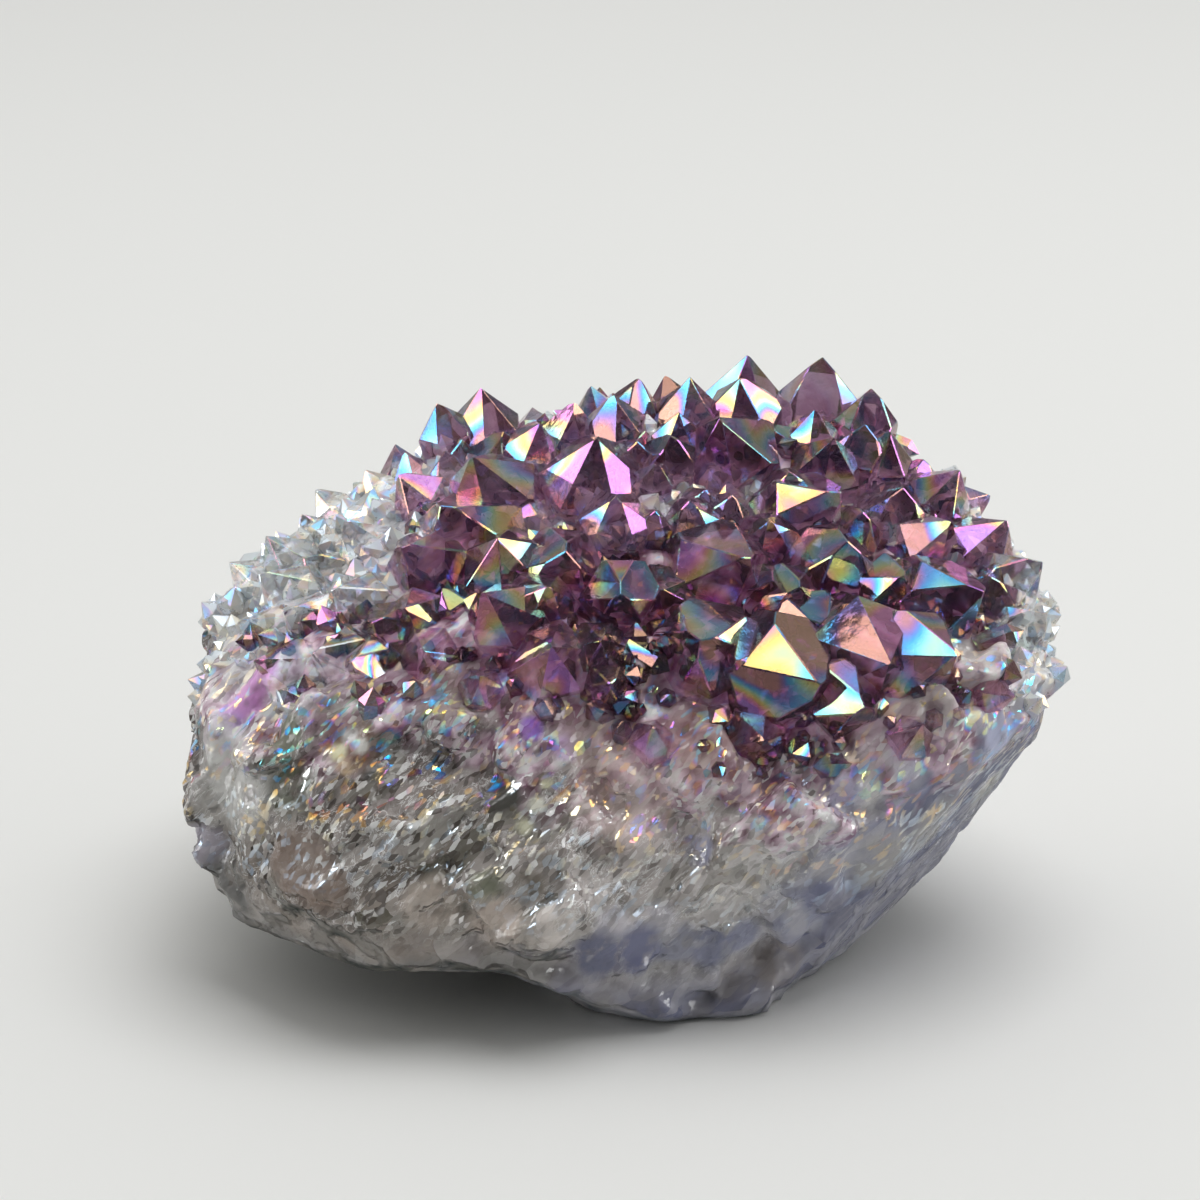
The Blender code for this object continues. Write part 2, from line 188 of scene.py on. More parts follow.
# Single marks on the wall: seen at (px, py), radius in mm, strength and colour. Some are painted light: the
# lilac, gold and peach glints are painted highlights, and the clear dark windows and dark spots are painted
# shade, the dark seen through clear quartz. In this order: the painted lilac glint and the milky edge at the
# left, the brown flat break, the clear dark windows, the brown pocket with its painted gold and peach glints,
# painted lilac glints and dark spots, the pale green streak, the pale band and the haze over the chalcedony,
# the chalcedony, the lump under it, its lavender patches, the pink haze, the brown foot of the points, and
# the rind's lumps and pale stone at the right.
MARKS_AND_PAINTED_LIGHT = (
    # Painted highlight: the lilac glint at the left
    (262, 672, 3.0, 0.8, "#b583ea"),
    (243, 700, 3.4, 0.9, "#b888f0"),
    (228, 725, 2.6, 0.6, "#a085d0"),
    (236, 785, 7.0, 0.8, "#b9b8b6"),
    (212, 742, 4.0, 0.7, "#b3b4b2"),
    (205, 845, 3.5, 0.7, "#8f8b98"),
    (225, 892, 5.5, 0.9, "#565655"),
    (300, 868, 5.5, 0.9, "#75675f"),
    (322, 892, 4.0, 0.9, "#6f625a"),
    # Painted shade: the clear dark windows
    (284, 735, 3.6, 1.0, "#55574a"),
    (292, 790, 3.8, 1.0, "#505246"),
    (330, 712, 2.6, 0.8, "#55514b"),
    (372, 768, 2.0, 1.0, "#3a3a39"),
    (350, 745, 4.0, 0.8, "#6b5247"),
    # Painted highlights: the gold and peach glints in the brown pocket
    (338, 752, 1.3, 0.9, "#e3b596"),
    (350, 736, 1.2, 0.9, "#f0ead0"),
    (361, 746, 1.2, 0.9, "#f2d6b4"),
    (346, 768, 1.2, 0.8, "#d9a587"),
    # Painted highlights: the lilac glints in the middle
    (531, 729, 1.8, 0.9, "#8a62b8"),
    (566, 748, 2.0, 0.6, "#a58bc4"),
    (497, 686, 1.8, 0.6, "#8d7bb0"),
    # Painted shade: a dark window and two dark spots
    (502, 795, 3.0, 1.0, "#403f3c"),
    (485, 885, 2.6, 0.9, "#65675a"),
    (530, 886, 2.4, 0.9, "#5d574f"),
    (546, 782, 1.0, 0.8, "#b9bb9d"),
    (536, 805, 1.3, 0.9, "#c9c9ad"),
    (524, 826, 1.3, 0.8, "#bfc2a2"),
    (430, 905, 4.0, 0.7, "#9f958d"),
    (495, 925, 4.0, 0.8, "#a1968e"),
    (548, 935, 3.5, 0.7, "#9f9893"),
    (560, 925, 3.0, 0.6, "#b9b2ae"),
    (610, 925, 3.0, 0.6, "#aeacb4"),
    (660, 922, 3.0, 0.5, "#a9a8b2"),
    (598, 955, 4.0, 1.0, "#5c5e70"),
    (640, 950, 4.0, 1.0, "#62647a"),
    (678, 945, 3.5, 0.8, "#757786"),
    (712, 947, 3.4, 0.9, "#686b7f"),
    (742, 937, 3.0, 0.8, "#72758a"),
    (775, 962, 4.0, 0.7, "#7d7672"),
    (730, 975, 3.5, 0.6, "#85807e"),
    (700, 850, 2.4, 0.8, "#8688a0"),
    (845, 795, 3.2, 0.7, "#9294aa"),
    (905, 760, 3.0, 0.6, "#9a9bae"),
    (620, 800, 7.0, 0.5, "#b7a5a3"),
    (700, 735, 6.0, 0.7, "#836b65"),
    (600, 742, 5.0, 0.6, "#80706b"),
    (455, 690, 5.0, 0.6, "#746761"),
    (880, 860, 5.0, 0.7, "#84827e"),
    (930, 830, 5.0, 0.6, "#8d8b85"),
    (1003, 735, 4.5, 0.9, "#8f93aa"),
    (985, 790, 3.5, 0.7, "#8a8882"),
    (965, 655, 6.0, 0.7, "#9fa198"),
    (925, 700, 5.5, 0.7, "#a3a09b"),
    (880, 745, 5.0, 0.5, "#9d9798"),
)

# The larger points: seen at (px, py) in the picture, then width, how far the tip stands out, nod towards
# the eye, lean to the right, and turn from having one face straight towards the eye.
POINTS = (
    (597, 437, 12.5, 9.0, 28, 2, -5),
    (473, 457, 10.5, 9.0, 30, -18, 8),
    (481, 388, 9.5, 8.0, 10, -4, 28),
    (438, 403, 6.5, 6.5, 12, -14, 10),
    (541, 424, 6.5, 6.0, 22, 14, 25),
    (574, 403, 9.0, 6.5, 8, 4, 0),
    (614, 395, 8.5, 6.5, 15, -4, 20),
    (638, 378, 6.0, 6.5, 2, 10, 30),
    (637, 441, 7.5, 5.5, 24, 6, 12),
    (679, 412, 6.0, 5.5, 20, 0, 0),
    (690, 377, 7.5, 7.0, 4, 0, 15),
    (747, 355, 10.0, 8.5, 4, 4, 4),
    (740, 378, 9.0, 7.5, 24, -4, 4),
    (719, 418, 12.0, 8.5, 36, -9, 22),
    (657, 464, 4.5, 5.0, 25, 4, 30),
    (670, 437, 7.0, 6.0, 30, 0, 26),
    (706, 490, 6.0, 5.0, 32, 6, 6),
    (689, 502, 6.5, 5.5, 34, -6, -8),
    (616, 497, 8.5, 7.0, 34, 0, -4),
    (655, 511, 4.5, 4.5, 30, 8, 12),
    (732, 494, 5.0, 5.0, 26, 10, 24),
    (823, 357, 9.5, 8.5, 4, 4, -6),
    (872, 388, 8.0, 7.5, 4, 8, 12),
    (833, 438, 9.0, 7.0, 28, 6, 30),
    (866, 424, 7.0, 6.0, 14, 8, 0),
    (890, 431, 8.0, 7.0, 16, 10, 22),
    (842, 490, 11.0, 7.5, 40, 34, 14),
    (863, 512, 7.5, 6.5, 34, 14, 28),
    (847, 539, 12.5, 8.0, 36, 10, 27),
    (905, 486, 12.0, 7.0, 28, 8, 8),
    (951, 522, 8.0, 6.0, 34, 26, 18),
    (484, 592, 9.0, 7.0, 34, -24, 12),
    (549, 588, 8.5, 6.5, 44, 10, 26),
    (566, 553, 11.0, 7.0, 46, 6, 8),
    (497, 538, 10.0, 6.5, 34, -8, 16),
    (440, 505, 17.0, 8.0, 36, -20, 4),
    (400, 550, 11.0, 6.0, 44, -26, 20),
    (621, 593, 8.5, 7.0, 66, 0, 30),
    (601, 640, 6.0, 5.0, 56, 6, 26),
    (551, 646, 9.5, 6.5, 50, 2, 22),
    (612, 684, 6.0, 4.5, 64, 6, 4),
    (752, 558, 14.0, 9.0, 50, 22, 12),
    (700, 640, 13.0, 7.5, 56, -6, 22),
    (772, 580, 7.5, 6.0, 46, 12, 20),
    (822, 688, 14.0, 8.0, 74, 24, 32),
    (736, 660, 9.0, 6.5, 66, -14, 10),
    (800, 588, 9.0, 6.0, 52, 8, 20),
    (822, 625, 8.5, 6.0, 66, 12, 26),
    (890, 664, 12.0, 7.5, 74, 16, 30),
    (866, 708, 9.5, 6.0, 78, 20, 10),
    (957, 656, 11.0, 5.5, 66, 34, 24),
    (985, 588, 12.0, 6.5, 50, 40, 8),
    (1008, 522, 9.0, 6.0, 24, 30, 16),
    (1042, 560, 8.0, 6.0, 24, 44, 0),
    (905, 575, 8.0, 5.5, 50, 14, 20),
    (770, 520, 8.0, 6.0, 38, 0, 14),
    (690, 560, 8.0, 5.0, 44, -4, 4),
    (660, 590, 9.0, 5.0, 50, -8, 20),
    (960, 470, 8.0, 4.5, 20, 26, 10),
    (790, 470, 7.5, 6.0, 30, -2, 10),
    (765, 740, 8.0, 4.5, 70, 4, 12),
    (1048, 614, 8.0, 4.0, 20, 50, 10),
    (366, 470, 5.0, 3.0, 0, -30, 10),
    (405, 452, 6.0, 3.0, 0, -20, 20),
    (300, 515, 6.0, 3.0, 10, -30, 0),
    (229, 562, 7.0, 3.5, 10, -45, 25),
    (266, 536, 7.0, 3.5, 10, -35, 5),
    (258, 574, 8.0, 4.0, 20, -45, 10),
    (303, 558, 7.5, 4.0, 25, -35, 20),
    (342, 522, 8.5, 4.5, 15, -30, 5),
    (236, 622, 8.0, 3.5, 25, -55, 15),
    (282, 612, 9.0, 4.0, 40, -40, 0),
    (332, 590, 9.0, 4.5, 40, -30, 25),
    (372, 622, 8.0, 4.0, 50, -25, 10),
    (312, 652, 8.0, 3.5, 50, -40, 20),
    (254, 660, 7.5, 3.5, 40, -50, 5),
    (405, 608, 8.0, 4.0, 50, -15, 0),
    (352, 662, 7.0, 3.0, 60, -20, 15),
    (422, 650, 7.0, 3.5, 55, -10, 25),
)
ROOT_LENGTH = 13.0
NARROW = 5.0
NARROW_ROOT = 0.6

# The smaller points between them, in two goes: tries, least and greatest width, and how far out from the
# summit to the rim they may stand
FILLERS = ((160, 6.5, 9.0, 0.05, 0.72), (900, 4.0, 6.0, 0.1, 1.0))
MOST_FILLERS = 112

# How near two tips may come, as a share of the points' widths, how many widths a smaller point stands out,
# how far it tilts in degrees, and how much it turns upwards
CLEARANCE = 0.46
FILLER_STAND = (0.62, 0.85)
FILLER_TILT = 16.0
FILLER_RISE = 0.35

# Points whose tips lie further left than this, or further right, are clear quartz with no violet in it.
CLEAR_LEFT = -29.0
CLEAR_RIGHT = 47.5

# Soft noise on the wall, which its material reads: name, how far it is shifted, size in mm, and octaves
DRIFTS = (("wander", 0.0, 4.5, 3), ("patches", 40.0, 2.8, 4), ("feathers", -40.0, 2.2, 4))

# The numbers that the wall's material reads from its points, in the order in which GeodeWall takes them
WALL_NUMBERS = ("rind_depth", "below_rim", "wander", "patches", "feathers", "skin", "pale_druse")

# The skin at two places from left to right: how deep it reaches, and how far down a face looks to carry it
# The skin reaches further at the left, where its dark crust is painted shade on the shadowed underside
SKIN_PLACES = (-15.0, 15.0)
SKIN_DEPTH = (0.9, 0.5)
SKIN_TURN = (0.3, 0.6)
SKIN_FADE = 1.6
SKIN_TURN_FADE = 0.3

# Small crystals: the share of the full density, least and greatest size, and seed
RIM_CRYSTALS = (0.36, 0.5, 1.8, 3)
SMALL_AMETHYSTS = (0.24, 0.6, 1.9, 5)
SMALL_LENGTH = 2.2
SMALL_RISE = 0.9
SMALL_LEAN = 0.55
DRUSE_FADE = 3.0
VIOLET_START = 2.0
VIOLET_FADE = 4.0

# The wall's grains and chips, as size in mm and tip, drawn out along the way that the quartz grew
GRAIN = (2.8, 0.10)
CHIP = (0.55, 0.42)
GRAIN_STRETCH = 2.6
PIT_DEPTH = 0.0012

# Colours of the wall: its layers by the share of LAYERS_DEEP in mm from the skin, and the rest by soft noise
LAYERS_DEEP = 36.0
SMOKY_LAYERS = ((0.0, "#666462"), (0.12, "#7b736d"), (0.22, "#665e56"), (0.55, "#5a534f"), (0.85, "#54494a"))
MILKY_LAYERS = (
    (0.0, "#4a4c60"), (0.06, "#5e6178"), (0.14, "#86868f"), (0.22, "#a09e9e"), (0.70, "#9f9593"),
    (0.92, "#83706f"),
)
ROOT_CLOUDS = ((0.35, "#6e5060"), (0.5, "#937d8a"), (0.65, "#b09fa9"), (0.8, "#cbc0c6"))
# The crust is darker at the left as painted shade on the shadowed underside; the pale crust at the right is
# its own colour
CRUST_IN_PAINTED_SHADE = ((0.30, "#252927"), (0.45, "#3f403d"), (0.60, "#53514d"), (0.75, "#6d6a66"))
PALE_CRUST = ((0.25, "#66696f"), (0.45, "#76787f"), (0.60, "#84848c"), (0.80, "#94939a"))
# Painted shade: clear grains are darkened for the dark seen through clear quartz; pale grains and healed
# cracks are its own colour
CLEAR_GRAIN_PAINTED_SHADE, PALE_GRAIN, HEALED_CRACK = "#4a483e", "#b4b1b0", "#d9d4d0"
# Chips painted as dark hollows and as bright glints: painted shade and painted highlights
QUARTZ_HOLLOW_PAINTED_SHADE, QUARTZ_PAINTED_GLINT = "#3b3531", "#efeae3"
# The root's chips are painted as glints and shaded hollows (painted highlights and painted shade); the pale
# root is its own colour
PALE_ROOT, ROOT_HOLLOW_PAINTED_SHADE, ROOT_PAINTED_GLINT = "#a5a6a8", "#42332f", "#d6cdc8"

# Colours of the crystals, by soft noise
CRYSTAL_CLOUDS = ((0.32, "#a5849b"), (0.5, "#c4a7bc"), (0.68, "#e2d4e2"))
SMALL_CLOUDS = ((0.35, "#644c5d"), (0.55, "#866e7e"), (0.75, "#b6a5b4"))
RIM_CLOUDS = ((0.35, "#dde2e1"), (0.55, "#eceeed"), (0.72, "#d8cfe0"))

QUARTZ_IOR = 1.544

# How far apart the film's noise is read, in metres, on faces that point different ways
FACES_APART = 0.02


def linear(code):
    """An sRGB hex code as linear red, green and blue."""
    parts = [int(code[place:place + 2], 16) / 255 for place in (1, 3, 5)]
    return tuple(part / 12.92 if part <= 0.04045 else ((part + 0.055) / 1.055) ** 2.4 for part in parts)


def with_alpha(colour):
    return (*colour, 1.0)


# Settings that a user would change


class StoneSettings(bpy.types.PropertyGroup):
    grain: bpy.props.FloatProperty(
        name="Grain", description="Length of the broken wall's smallest faces", default=0.00058, unit="LENGTH"
    )
    edge_wear: bpy.props.FloatProperty(
        name="Edge wear", description="Width of the worn edges of the points", default=0.00013, unit="LENGTH"
    )
    small_size: bpy.props.FloatProperty(
        name="Small crystals", description="Width of the small crystals", default=0.0016, unit="LENGTH"
    )
    small_density: bpy.props.FloatProperty(
        name="Small crystal density", description="Small crystals for each square metre", default=520000.0
    )


class FinishSettings(bpy.types.PropertyGroup):
    amethyst: bpy.props.FloatVectorProperty(
        name="Amethyst", description="Light that a few millimetres of amethyst let through", size=3,
        subtype="COLOR", default=(0.50, 0.24, 0.42)
    )
    depth_of_colour: bpy.props.FloatProperty(
        name="Depth of colour", description="How strongly the amethyst absorbs, for each metre", default=145.0
    )
    film_least: bpy.props.FloatProperty(
        name="Thinnest film", description="Least thickness of the metal-oxide film, in nanometres",
        default=128.0
    )
    film_most: bpy.props.FloatProperty(
        name="Thickest film", description="Greatest thickness of the metal-oxide film, in nanometres",
        default=292.0
    )
    paper: bpy.props.FloatVectorProperty(
        name="Paper", description="Colour of the paper that the stone stands on", size=3, subtype="COLOR",
        default=linear("#e9eae9")
    )


class StudioSettings(bpy.types.PropertyGroup):
    side_power: bpy.props.FloatProperty(
        name="Side panels", description="Power of each side panel", default=9.0, unit="POWER"
    )
    upper_power: bpy.props.FloatProperty(
        name="Upper panel", description="Power of the panel at the upper left", default=3.4, unit="POWER"
    )
    top_power: bpy.props.FloatProperty(
        name="Top panel", description="Power of the panel overhead", default=6.2, unit="POWER"
    )
    room: bpy.props.FloatProperty(
        name="Room light", description="Strength of the light from the room", default=1.0
    )


# The stone's outline, as in its CAD solid


def metres(vector):
    return vector * MM


def blend4(before, start, end, after, share):
    """The value at a share of the way from start to end on a smooth curve through all four."""
    square, cube = share * share, share * share * share
    return 0.5 * (
        2 * start
        + (end - before) * share
        + (2 * before - 5 * start + 4 * end - after) * square
        + (3 * start - before - 3 * end + after) * cube
    )


def station_at(bearing):
    """The columns of STATIONS at any bearing, on a smooth closed curve through the rows."""
    spacing = STATIONS[1][0] - STATIONS[0][0]
    place = ((bearing + 180.0) % 360.0) / spacing
    first = int(place)
    rows = [STATIONS[(first + step) % len(STATIONS)] for step in (-1, 0, 1, 2)]
    return [blend4(*(row[column] for row in rows), place - first) for column in range(1, 8)]


def profile_at(bearing):
    """The corner points of the stone's section at a bearing, from the foot's outline up to the summit."""
    foot, edge_r, edge_z, waist_r, waist_z, rim_r, rim_z = station_at(bearing)
    turn = math.radians(bearing)
    out = Vector((math.cos(turn), math.sin(turn), 0.0))
    up = Vector((0.0, 0.0, 1.0))
    rim = out * rim_r + up * rim_z
    shoulder = rim.lerp(SUMMIT, SHOULDER_SHARE) + up * SHOULDER_SWELL
    return [
        out * foot - up * FOOT_SINK,
        out * edge_r + up * edge_z,
        out * waist_r + up * waist_z,
        rim,
        shoulder,
        SUMMIT.copy(),
    ]


def profile_points(bearing):
    """The section at a bearing as a row of points, summit left out: straight under the stone, then curved."""
    foot, edge, *above = profile_at(bearing)
    over_summit = profile_at(bearing + 180.0)[-2]
    curve = [edge * 2 - above[0], edge, *above, over_summit]
    found = [foot.lerp(edge, step / RISE_STEPS) for step in range(RISE_STEPS)]
    for first in range(1, len(curve) - 2):
        for step in range(RISE_STEPS):
            found.append(blend4(*curve[first - 1:first + 3], step / RISE_STEPS))
    return found


def lofted_stone():
    """The smooth stone, closed by a fan at the foot and at the summit."""
    mesh = bmesh.new()
    rings = []
    for step in range(BEARING_STEPS):
        bearing = 360.0 * step / BEARING_STEPS - 180.0
        rings.append([mesh.verts.new(metres(point)) for point in profile_points(bearing)])
    foot_centre = mesh.verts.new(metres(Vector((0.0, 0.0, -FOOT_SINK))))
    summit = mesh.verts.new(metres(SUMMIT))
    for here, after in zip(rings, rings[1:] + rings[:1]):
        for low in range(len(here) - 1):
            mesh.faces.new((here[low], after[low], after[low + 1], here[low + 1]))
        mesh.faces.new((foot_centre, after[0], here[0]))
        mesh.faces.new((summit, here[-1], after[-1]))
    bmesh.ops.recalc_face_normals(mesh, faces=mesh.faces)
    return to_data(mesh, "loft")


def to_data(mesh, name):
    data = bpy.data.meshes.new(name)
    mesh.to_mesh(data)
    mesh.free()
    return data


def new_object(name, data):
    obj = bpy.data.objects.new(name, data)
    bpy.context.scene.collection.objects.link(obj)
    return obj


def baked(obj):
    """Puts the result of the object's modifiers in its own mesh and takes them off."""
    bpy.context.view_layer.update()
    graph = bpy.context.evaluated_depsgraph_get()
    done = bpy.data.meshes.new_from_object(
        obj.evaluated_get(graph), preserve_all_data_layers=True, depsgraph=graph
    )
    obj.modifiers.clear()
    obj.data = done
    done.name = obj.name
    return obj


def even_faces(obj, length):
    """Meshes an object again in small even faces of this length in mm."""
    remesh = obj.modifiers.new("even faces", "REMESH")
    remesh.mode = "VOXEL"
    remesh.voxel_size = length * MM
    return baked(obj)


def tipped_faces(place, kinds):
    """How far a broken surface stands out at a place in mm: flat faces, each tipped its own way."""
    height = 0.0
    for size, tip, step in kinds:
        centre = noise.voronoi(place / size)[1][0]
        own = noise.cell_vector(centre * 97.0) * 2.0 - Vector((1.0, 1.0, 1.0))
        height += (place - centre * size).dot(own) * tip + own.x * step
    return height


def facet_height(place, normal):
    return tipped_faces(place, FACETS) * (1.0 - UNDERSIDE_WEAR * max(0.0, -normal.z))


def push_out(obj, height):
    """Moves each point of an object along its normal by height(place in mm, normal), in mm."""
    data = obj.data
    normals = [vertex.normal.copy() for vertex in data.vertices]
    for vertex, normal in zip(data.vertices, normals):
        vertex.co += normal * height(vertex.co / MM, normal) * MM
    data.update()


def cut(mesh, inside, normal):
    """Takes off everything past a plane and closes the cut with one flat face."""
    geometry = mesh.verts[:] + mesh.edges[:] + mesh.faces[:]
    made = bmesh.ops.bisect_plane(
        mesh, geom=geometry, plane_co=inside, plane_no=normal, clear_outer=True, dist=1e-7
    )
    edges = [part for part in made["geom_cut"] if isinstance(part, bmesh.types.BMEdge)]
    if edges:
        bmesh.ops.edgeloop_fill(mesh, edges=edges)


def cut_object(obj, place, facing):
    """Breaks an object off flat past a plane, given in mm."""
    mesh = bmesh.new()
    mesh.from_mesh(obj.data)
    cut(mesh, metres(place), facing)
    bmesh.ops.triangulate(mesh, faces=mesh.faces)
    mesh.to_mesh(obj.data)
    mesh.free()


def cut_breaks(obj):
    for place, facing in BREAKS:
        cut_object(obj, Vector(place), Vector(facing))


def plain_stone():
    """The stone as its CAD solid has it under the points, to set the points out from."""
    stone = even_faces(new_object("plain stone", lofted_stone()), STONE_VOXEL)
    push_out(stone, facet_height)
    even_faces(stone, STONE_VOXEL)
    thin = stone.modifiers.new("fewer faces", "DECIMATE")
    thin.ratio = STONE_TRIANGLES / (2.0 * len(stone.data.polygons))
    baked(stone)
    cut_breaks(stone)
    return stone


def surface_of(obj):
    return BVHTree.FromPolygons(
        [vertex.co for vertex in obj.data.vertices],
        [polygon.vertices for polygon in obj.data.polygons],
    )


# Quartz points


def crystal_shape(width, length, draw):
    """A six-sided quartz prism with its point at the origin, cut out of a block by its growth faces."""
    mesh = bmesh.new()
    bmesh.ops.create_cube(mesh, size=1.0)
    reach = width * 1.2
    bmesh.ops.scale(mesh, vec=(2 * reach, 2 * reach, length + reach), verts=mesh.verts)
    bmesh.ops.translate(mesh, vec=(0.0, 0.0, (reach - length) / 2), verts=mesh.verts)
    minor = draw.uniform(0.0, 0.11) * width
    for side in range(6):
        turn = math.radians(60.0 * side)
        flat = Vector((math.cos(turn), math.sin(turn), 0.0))
        cut(mesh, flat * width * draw.uniform(0.44, 0.53), flat)
        slope = flat * math.sin(POINT_SLOPE) + Vector((0, 0, math.cos(POINT_SLOPE)))
        back_off = minor if side % 2 else draw.uniform(0.0, 0.05) * width
        cut(mesh, slope * back_off, slope)
    bmesh.ops.translate(mesh, vec=(0, 0, -max(vert.co.z for vert in mesh.verts)), verts=mesh.verts)
    bmesh.ops.recalc_face_normals(mesh, faces=mesh.faces)
    return mesh


def axis_from(nod, lean):
    """The direction of a crystal that nods towards the eye and leans to the right."""
    nod, lean = math.radians(nod), math.radians(lean)
    return Vector((math.sin(lean), -math.sin(nod) * math.cos(lean), math.cos(nod) * math.cos(lean)))


def crystal_frame(tip, axis, twist):
    """The matrix that puts a crystal's point at tip, with one face turned twist degrees from the eye."""
    side = axis.cross(-EYE_AHEAD)
    if side.length < 0.05:
        side = axis.cross(Vector((1.0, 0.0, 0.0)))
    side.normalize()
    ahead = side.cross(axis).normalized()
    turned = Matrix((ahead, side, axis)).transposed().to_4x4()
    return Matrix.Translation(tip) @ turned @ Matrix.Rotation(math.radians(twist), 4, "Z")


def wear_edges(mesh, width):
    """Gives a crystal's edges narrow worn faces, which catch the light."""
    bmesh.ops.bevel(
        mesh, geom=mesh.edges[:], offset=width, segments=1, affect="EDGES", clamp_overlap=True,
        offset_type="OFFSET", profile=0.5
    )


def placed_crystal(spec, wear):
    """A crystal's data in the shared frame: spec is (tip, axis, width, twist, shape)."""
    tip, axis, _, twist, mesh = spec
    wear_edges(mesh, wear)
    data = to_data(mesh, "crystal")
    data.transform(Matrix.Scale(MM, 4) @ crystal_frame(tip, axis, twist))
    return data


def sight_line(px, py):
    """The direction in which the eye sees a place of the picture."""
    across, above = (px - PICTURE_CENTRE) * MM_PER_UNIT, (PICTURE_CENTRE - py) * MM_PER_UNIT
    return (EYE_AHEAD * EYE_DISTANCE + Vector((1.0, 0.0, 0.0)) * across + EYE_UP * above).normalized()


def tip_seen_at(surface, px, py, stand):
    """Where a tip is that is seen at a place of the picture and stands so far out, or comes nearest to it."""
    ahead = sight_line(px, py)
    best = None
    for step in range(round(2 * SEARCH_DEPTH / MARCH)):
        place = EYE_PLACE + ahead * (EYE_DISTANCE - SEARCH_DEPTH + MARCH * step)
        gap = surface.find_nearest(metres(place))[3] / MM
        if best is None or gap < best[0]:
            best = (gap, place)
        if gap <= stand:
            break
    return best[1]


def crown_place(surface, bearing, share):
    """A place on the crown and its normal, a share of the way from the summit to the rim."""
    rim, shoulder = profile_at(bearing)[3:5]
    if share < SHOULDER_SHARE:
        place = SUMMIT.lerp(shoulder, share / SHOULDER_SHARE)
    else:
        place = shoulder.lerp(rim, (share - SHOULDER_SHARE) / (1 - SHOULDER_SHARE))
    near, normal = surface.find_nearest(metres(place))[:2]
    return near / MM, normal


def grown_point(width, draw):
    return crystal_shape(width, ROOT_LENGTH if width > NARROW else ROOT_LENGTH * NARROW_ROOT, draw)


def all_crystals(surface):
    """Every point of the crown as (tip, axis, width, twist, shape), drawn in the CAD solid's own order."""
    draw = random.Random(SEED)
    made = []
    for px, py, width, stand, nod, lean, twist in POINTS:
        tip = tip_seen_at(surface, px, py, stand)
        made.append((tip, axis_from(nod, lean), width, twist, grown_point(width, draw)))
    small = 0
    for tries, least, most, nearest, farthest in FILLERS:
        for _ in range(tries):
            if small >= MOST_FILLERS:
                return made
            share = math.sqrt(draw.uniform(nearest ** 2, farthest ** 2))
            width = draw.uniform(least, most)
            place, normal = crown_place(surface, draw.uniform(-180.0, 180.0), share)
            tilt = Vector([draw.gauss(0.0, math.radians(FILLER_TILT)) for _ in range(3)])
            axis = (normal + Vector((0, 0, FILLER_RISE)) + tilt).normalized()
            tip = place + axis * width * draw.uniform(*FILLER_STAND)
            twist = draw.uniform(0.0, 60.0)
            if any((tip - other[0]).length < CLEARANCE * (width + other[2]) for other in made):
                continue
            made.append((tip, axis, width, twist, grown_point(width, draw)))
            small += 1
    return made


def grown_together(name, specs, wear):
    """One closed mesh of crystals that grew into each other."""
    group = bpy.data.collections.new(name + " crystals")
    bpy.context.scene.collection.children.link(group)
    first = new_object(name, placed_crystal(specs[0], wear))
    for spec in specs[1:]:
        group.objects.link(bpy.data.objects.new("crystal", placed_crystal(spec, wear)))
    union = first.modifiers.new("grown together", "BOOLEAN")
    union.operation = "UNION"
    union.operand_type = "COLLECTION"
    union.collection = group
    union.solver = "EXACT"
    baked(first)
    for obj in list(group.objects):
        bpy.data.objects.remove(obj)
    bpy.data.collections.remove(group)
    return first


# The broken wall in fine grain


def outline_table():
    """(bearings, lower edge's height, rim's height) round the stone, for quick reading."""
    bearings = np.arange(-180.0, 181.0, 3.0)
    rows = np.array([station_at(bearing) for bearing in bearings])
    return bearings, rows[:, 2], rows[:, 6]


def bearings_of(places):
    return np.degrees(np.arctan2(places[:, 1], places[:, 0]))


def rind_depth(places):
    """How far in from the stone's skin each place in mm lies, measured in layers: below 0 is the skin."""
    bearings, edge, _ = outline_table()
    above_edge = places[:, 2] - np.interp(bearings_of(places), bearings, edge)
    place, facing = BREAKS[0]
    in_from_break = (np.array(place) - places) @ np.array(facing)
    return np.minimum(above_edge, in_from_break)


def below_rim(places):
    """How far under the crown's rim each place in mm lies."""
    bearings, _, rim = outline_table()
    return np.interp(bearings_of(places), bearings, rim) - places[:, 2]


def vertex_vectors(data, name):
    """A vector for each vertex: its place in metres, "co", or its "normal"."""
    found = np.empty(len(data.vertices) * 3, np.float32)
    data.vertices.foreach_get(name, found)
    return found.reshape(-1, 3)


def write_number(data, name, values):
    layer = data.attributes.new(name, "FLOAT", "POINT")
    layer.data.foreach_set("value", np.ascontiguousarray(values, np.float32))


def write_colour(data, name, values):
    layer = data.color_attributes.new(name, "FLOAT_COLOR", "POINT")
    layer.data.foreach_set("color", np.ascontiguousarray(values, np.float32).ravel())


def drawn_out(place):
    """A place squeezed along the way that the quartz grew, so that what is drawn there comes out long."""
    return place - GROWTH * place.dot(GROWTH) * (1.0 - 1.0 / GROWTH_STRETCH)


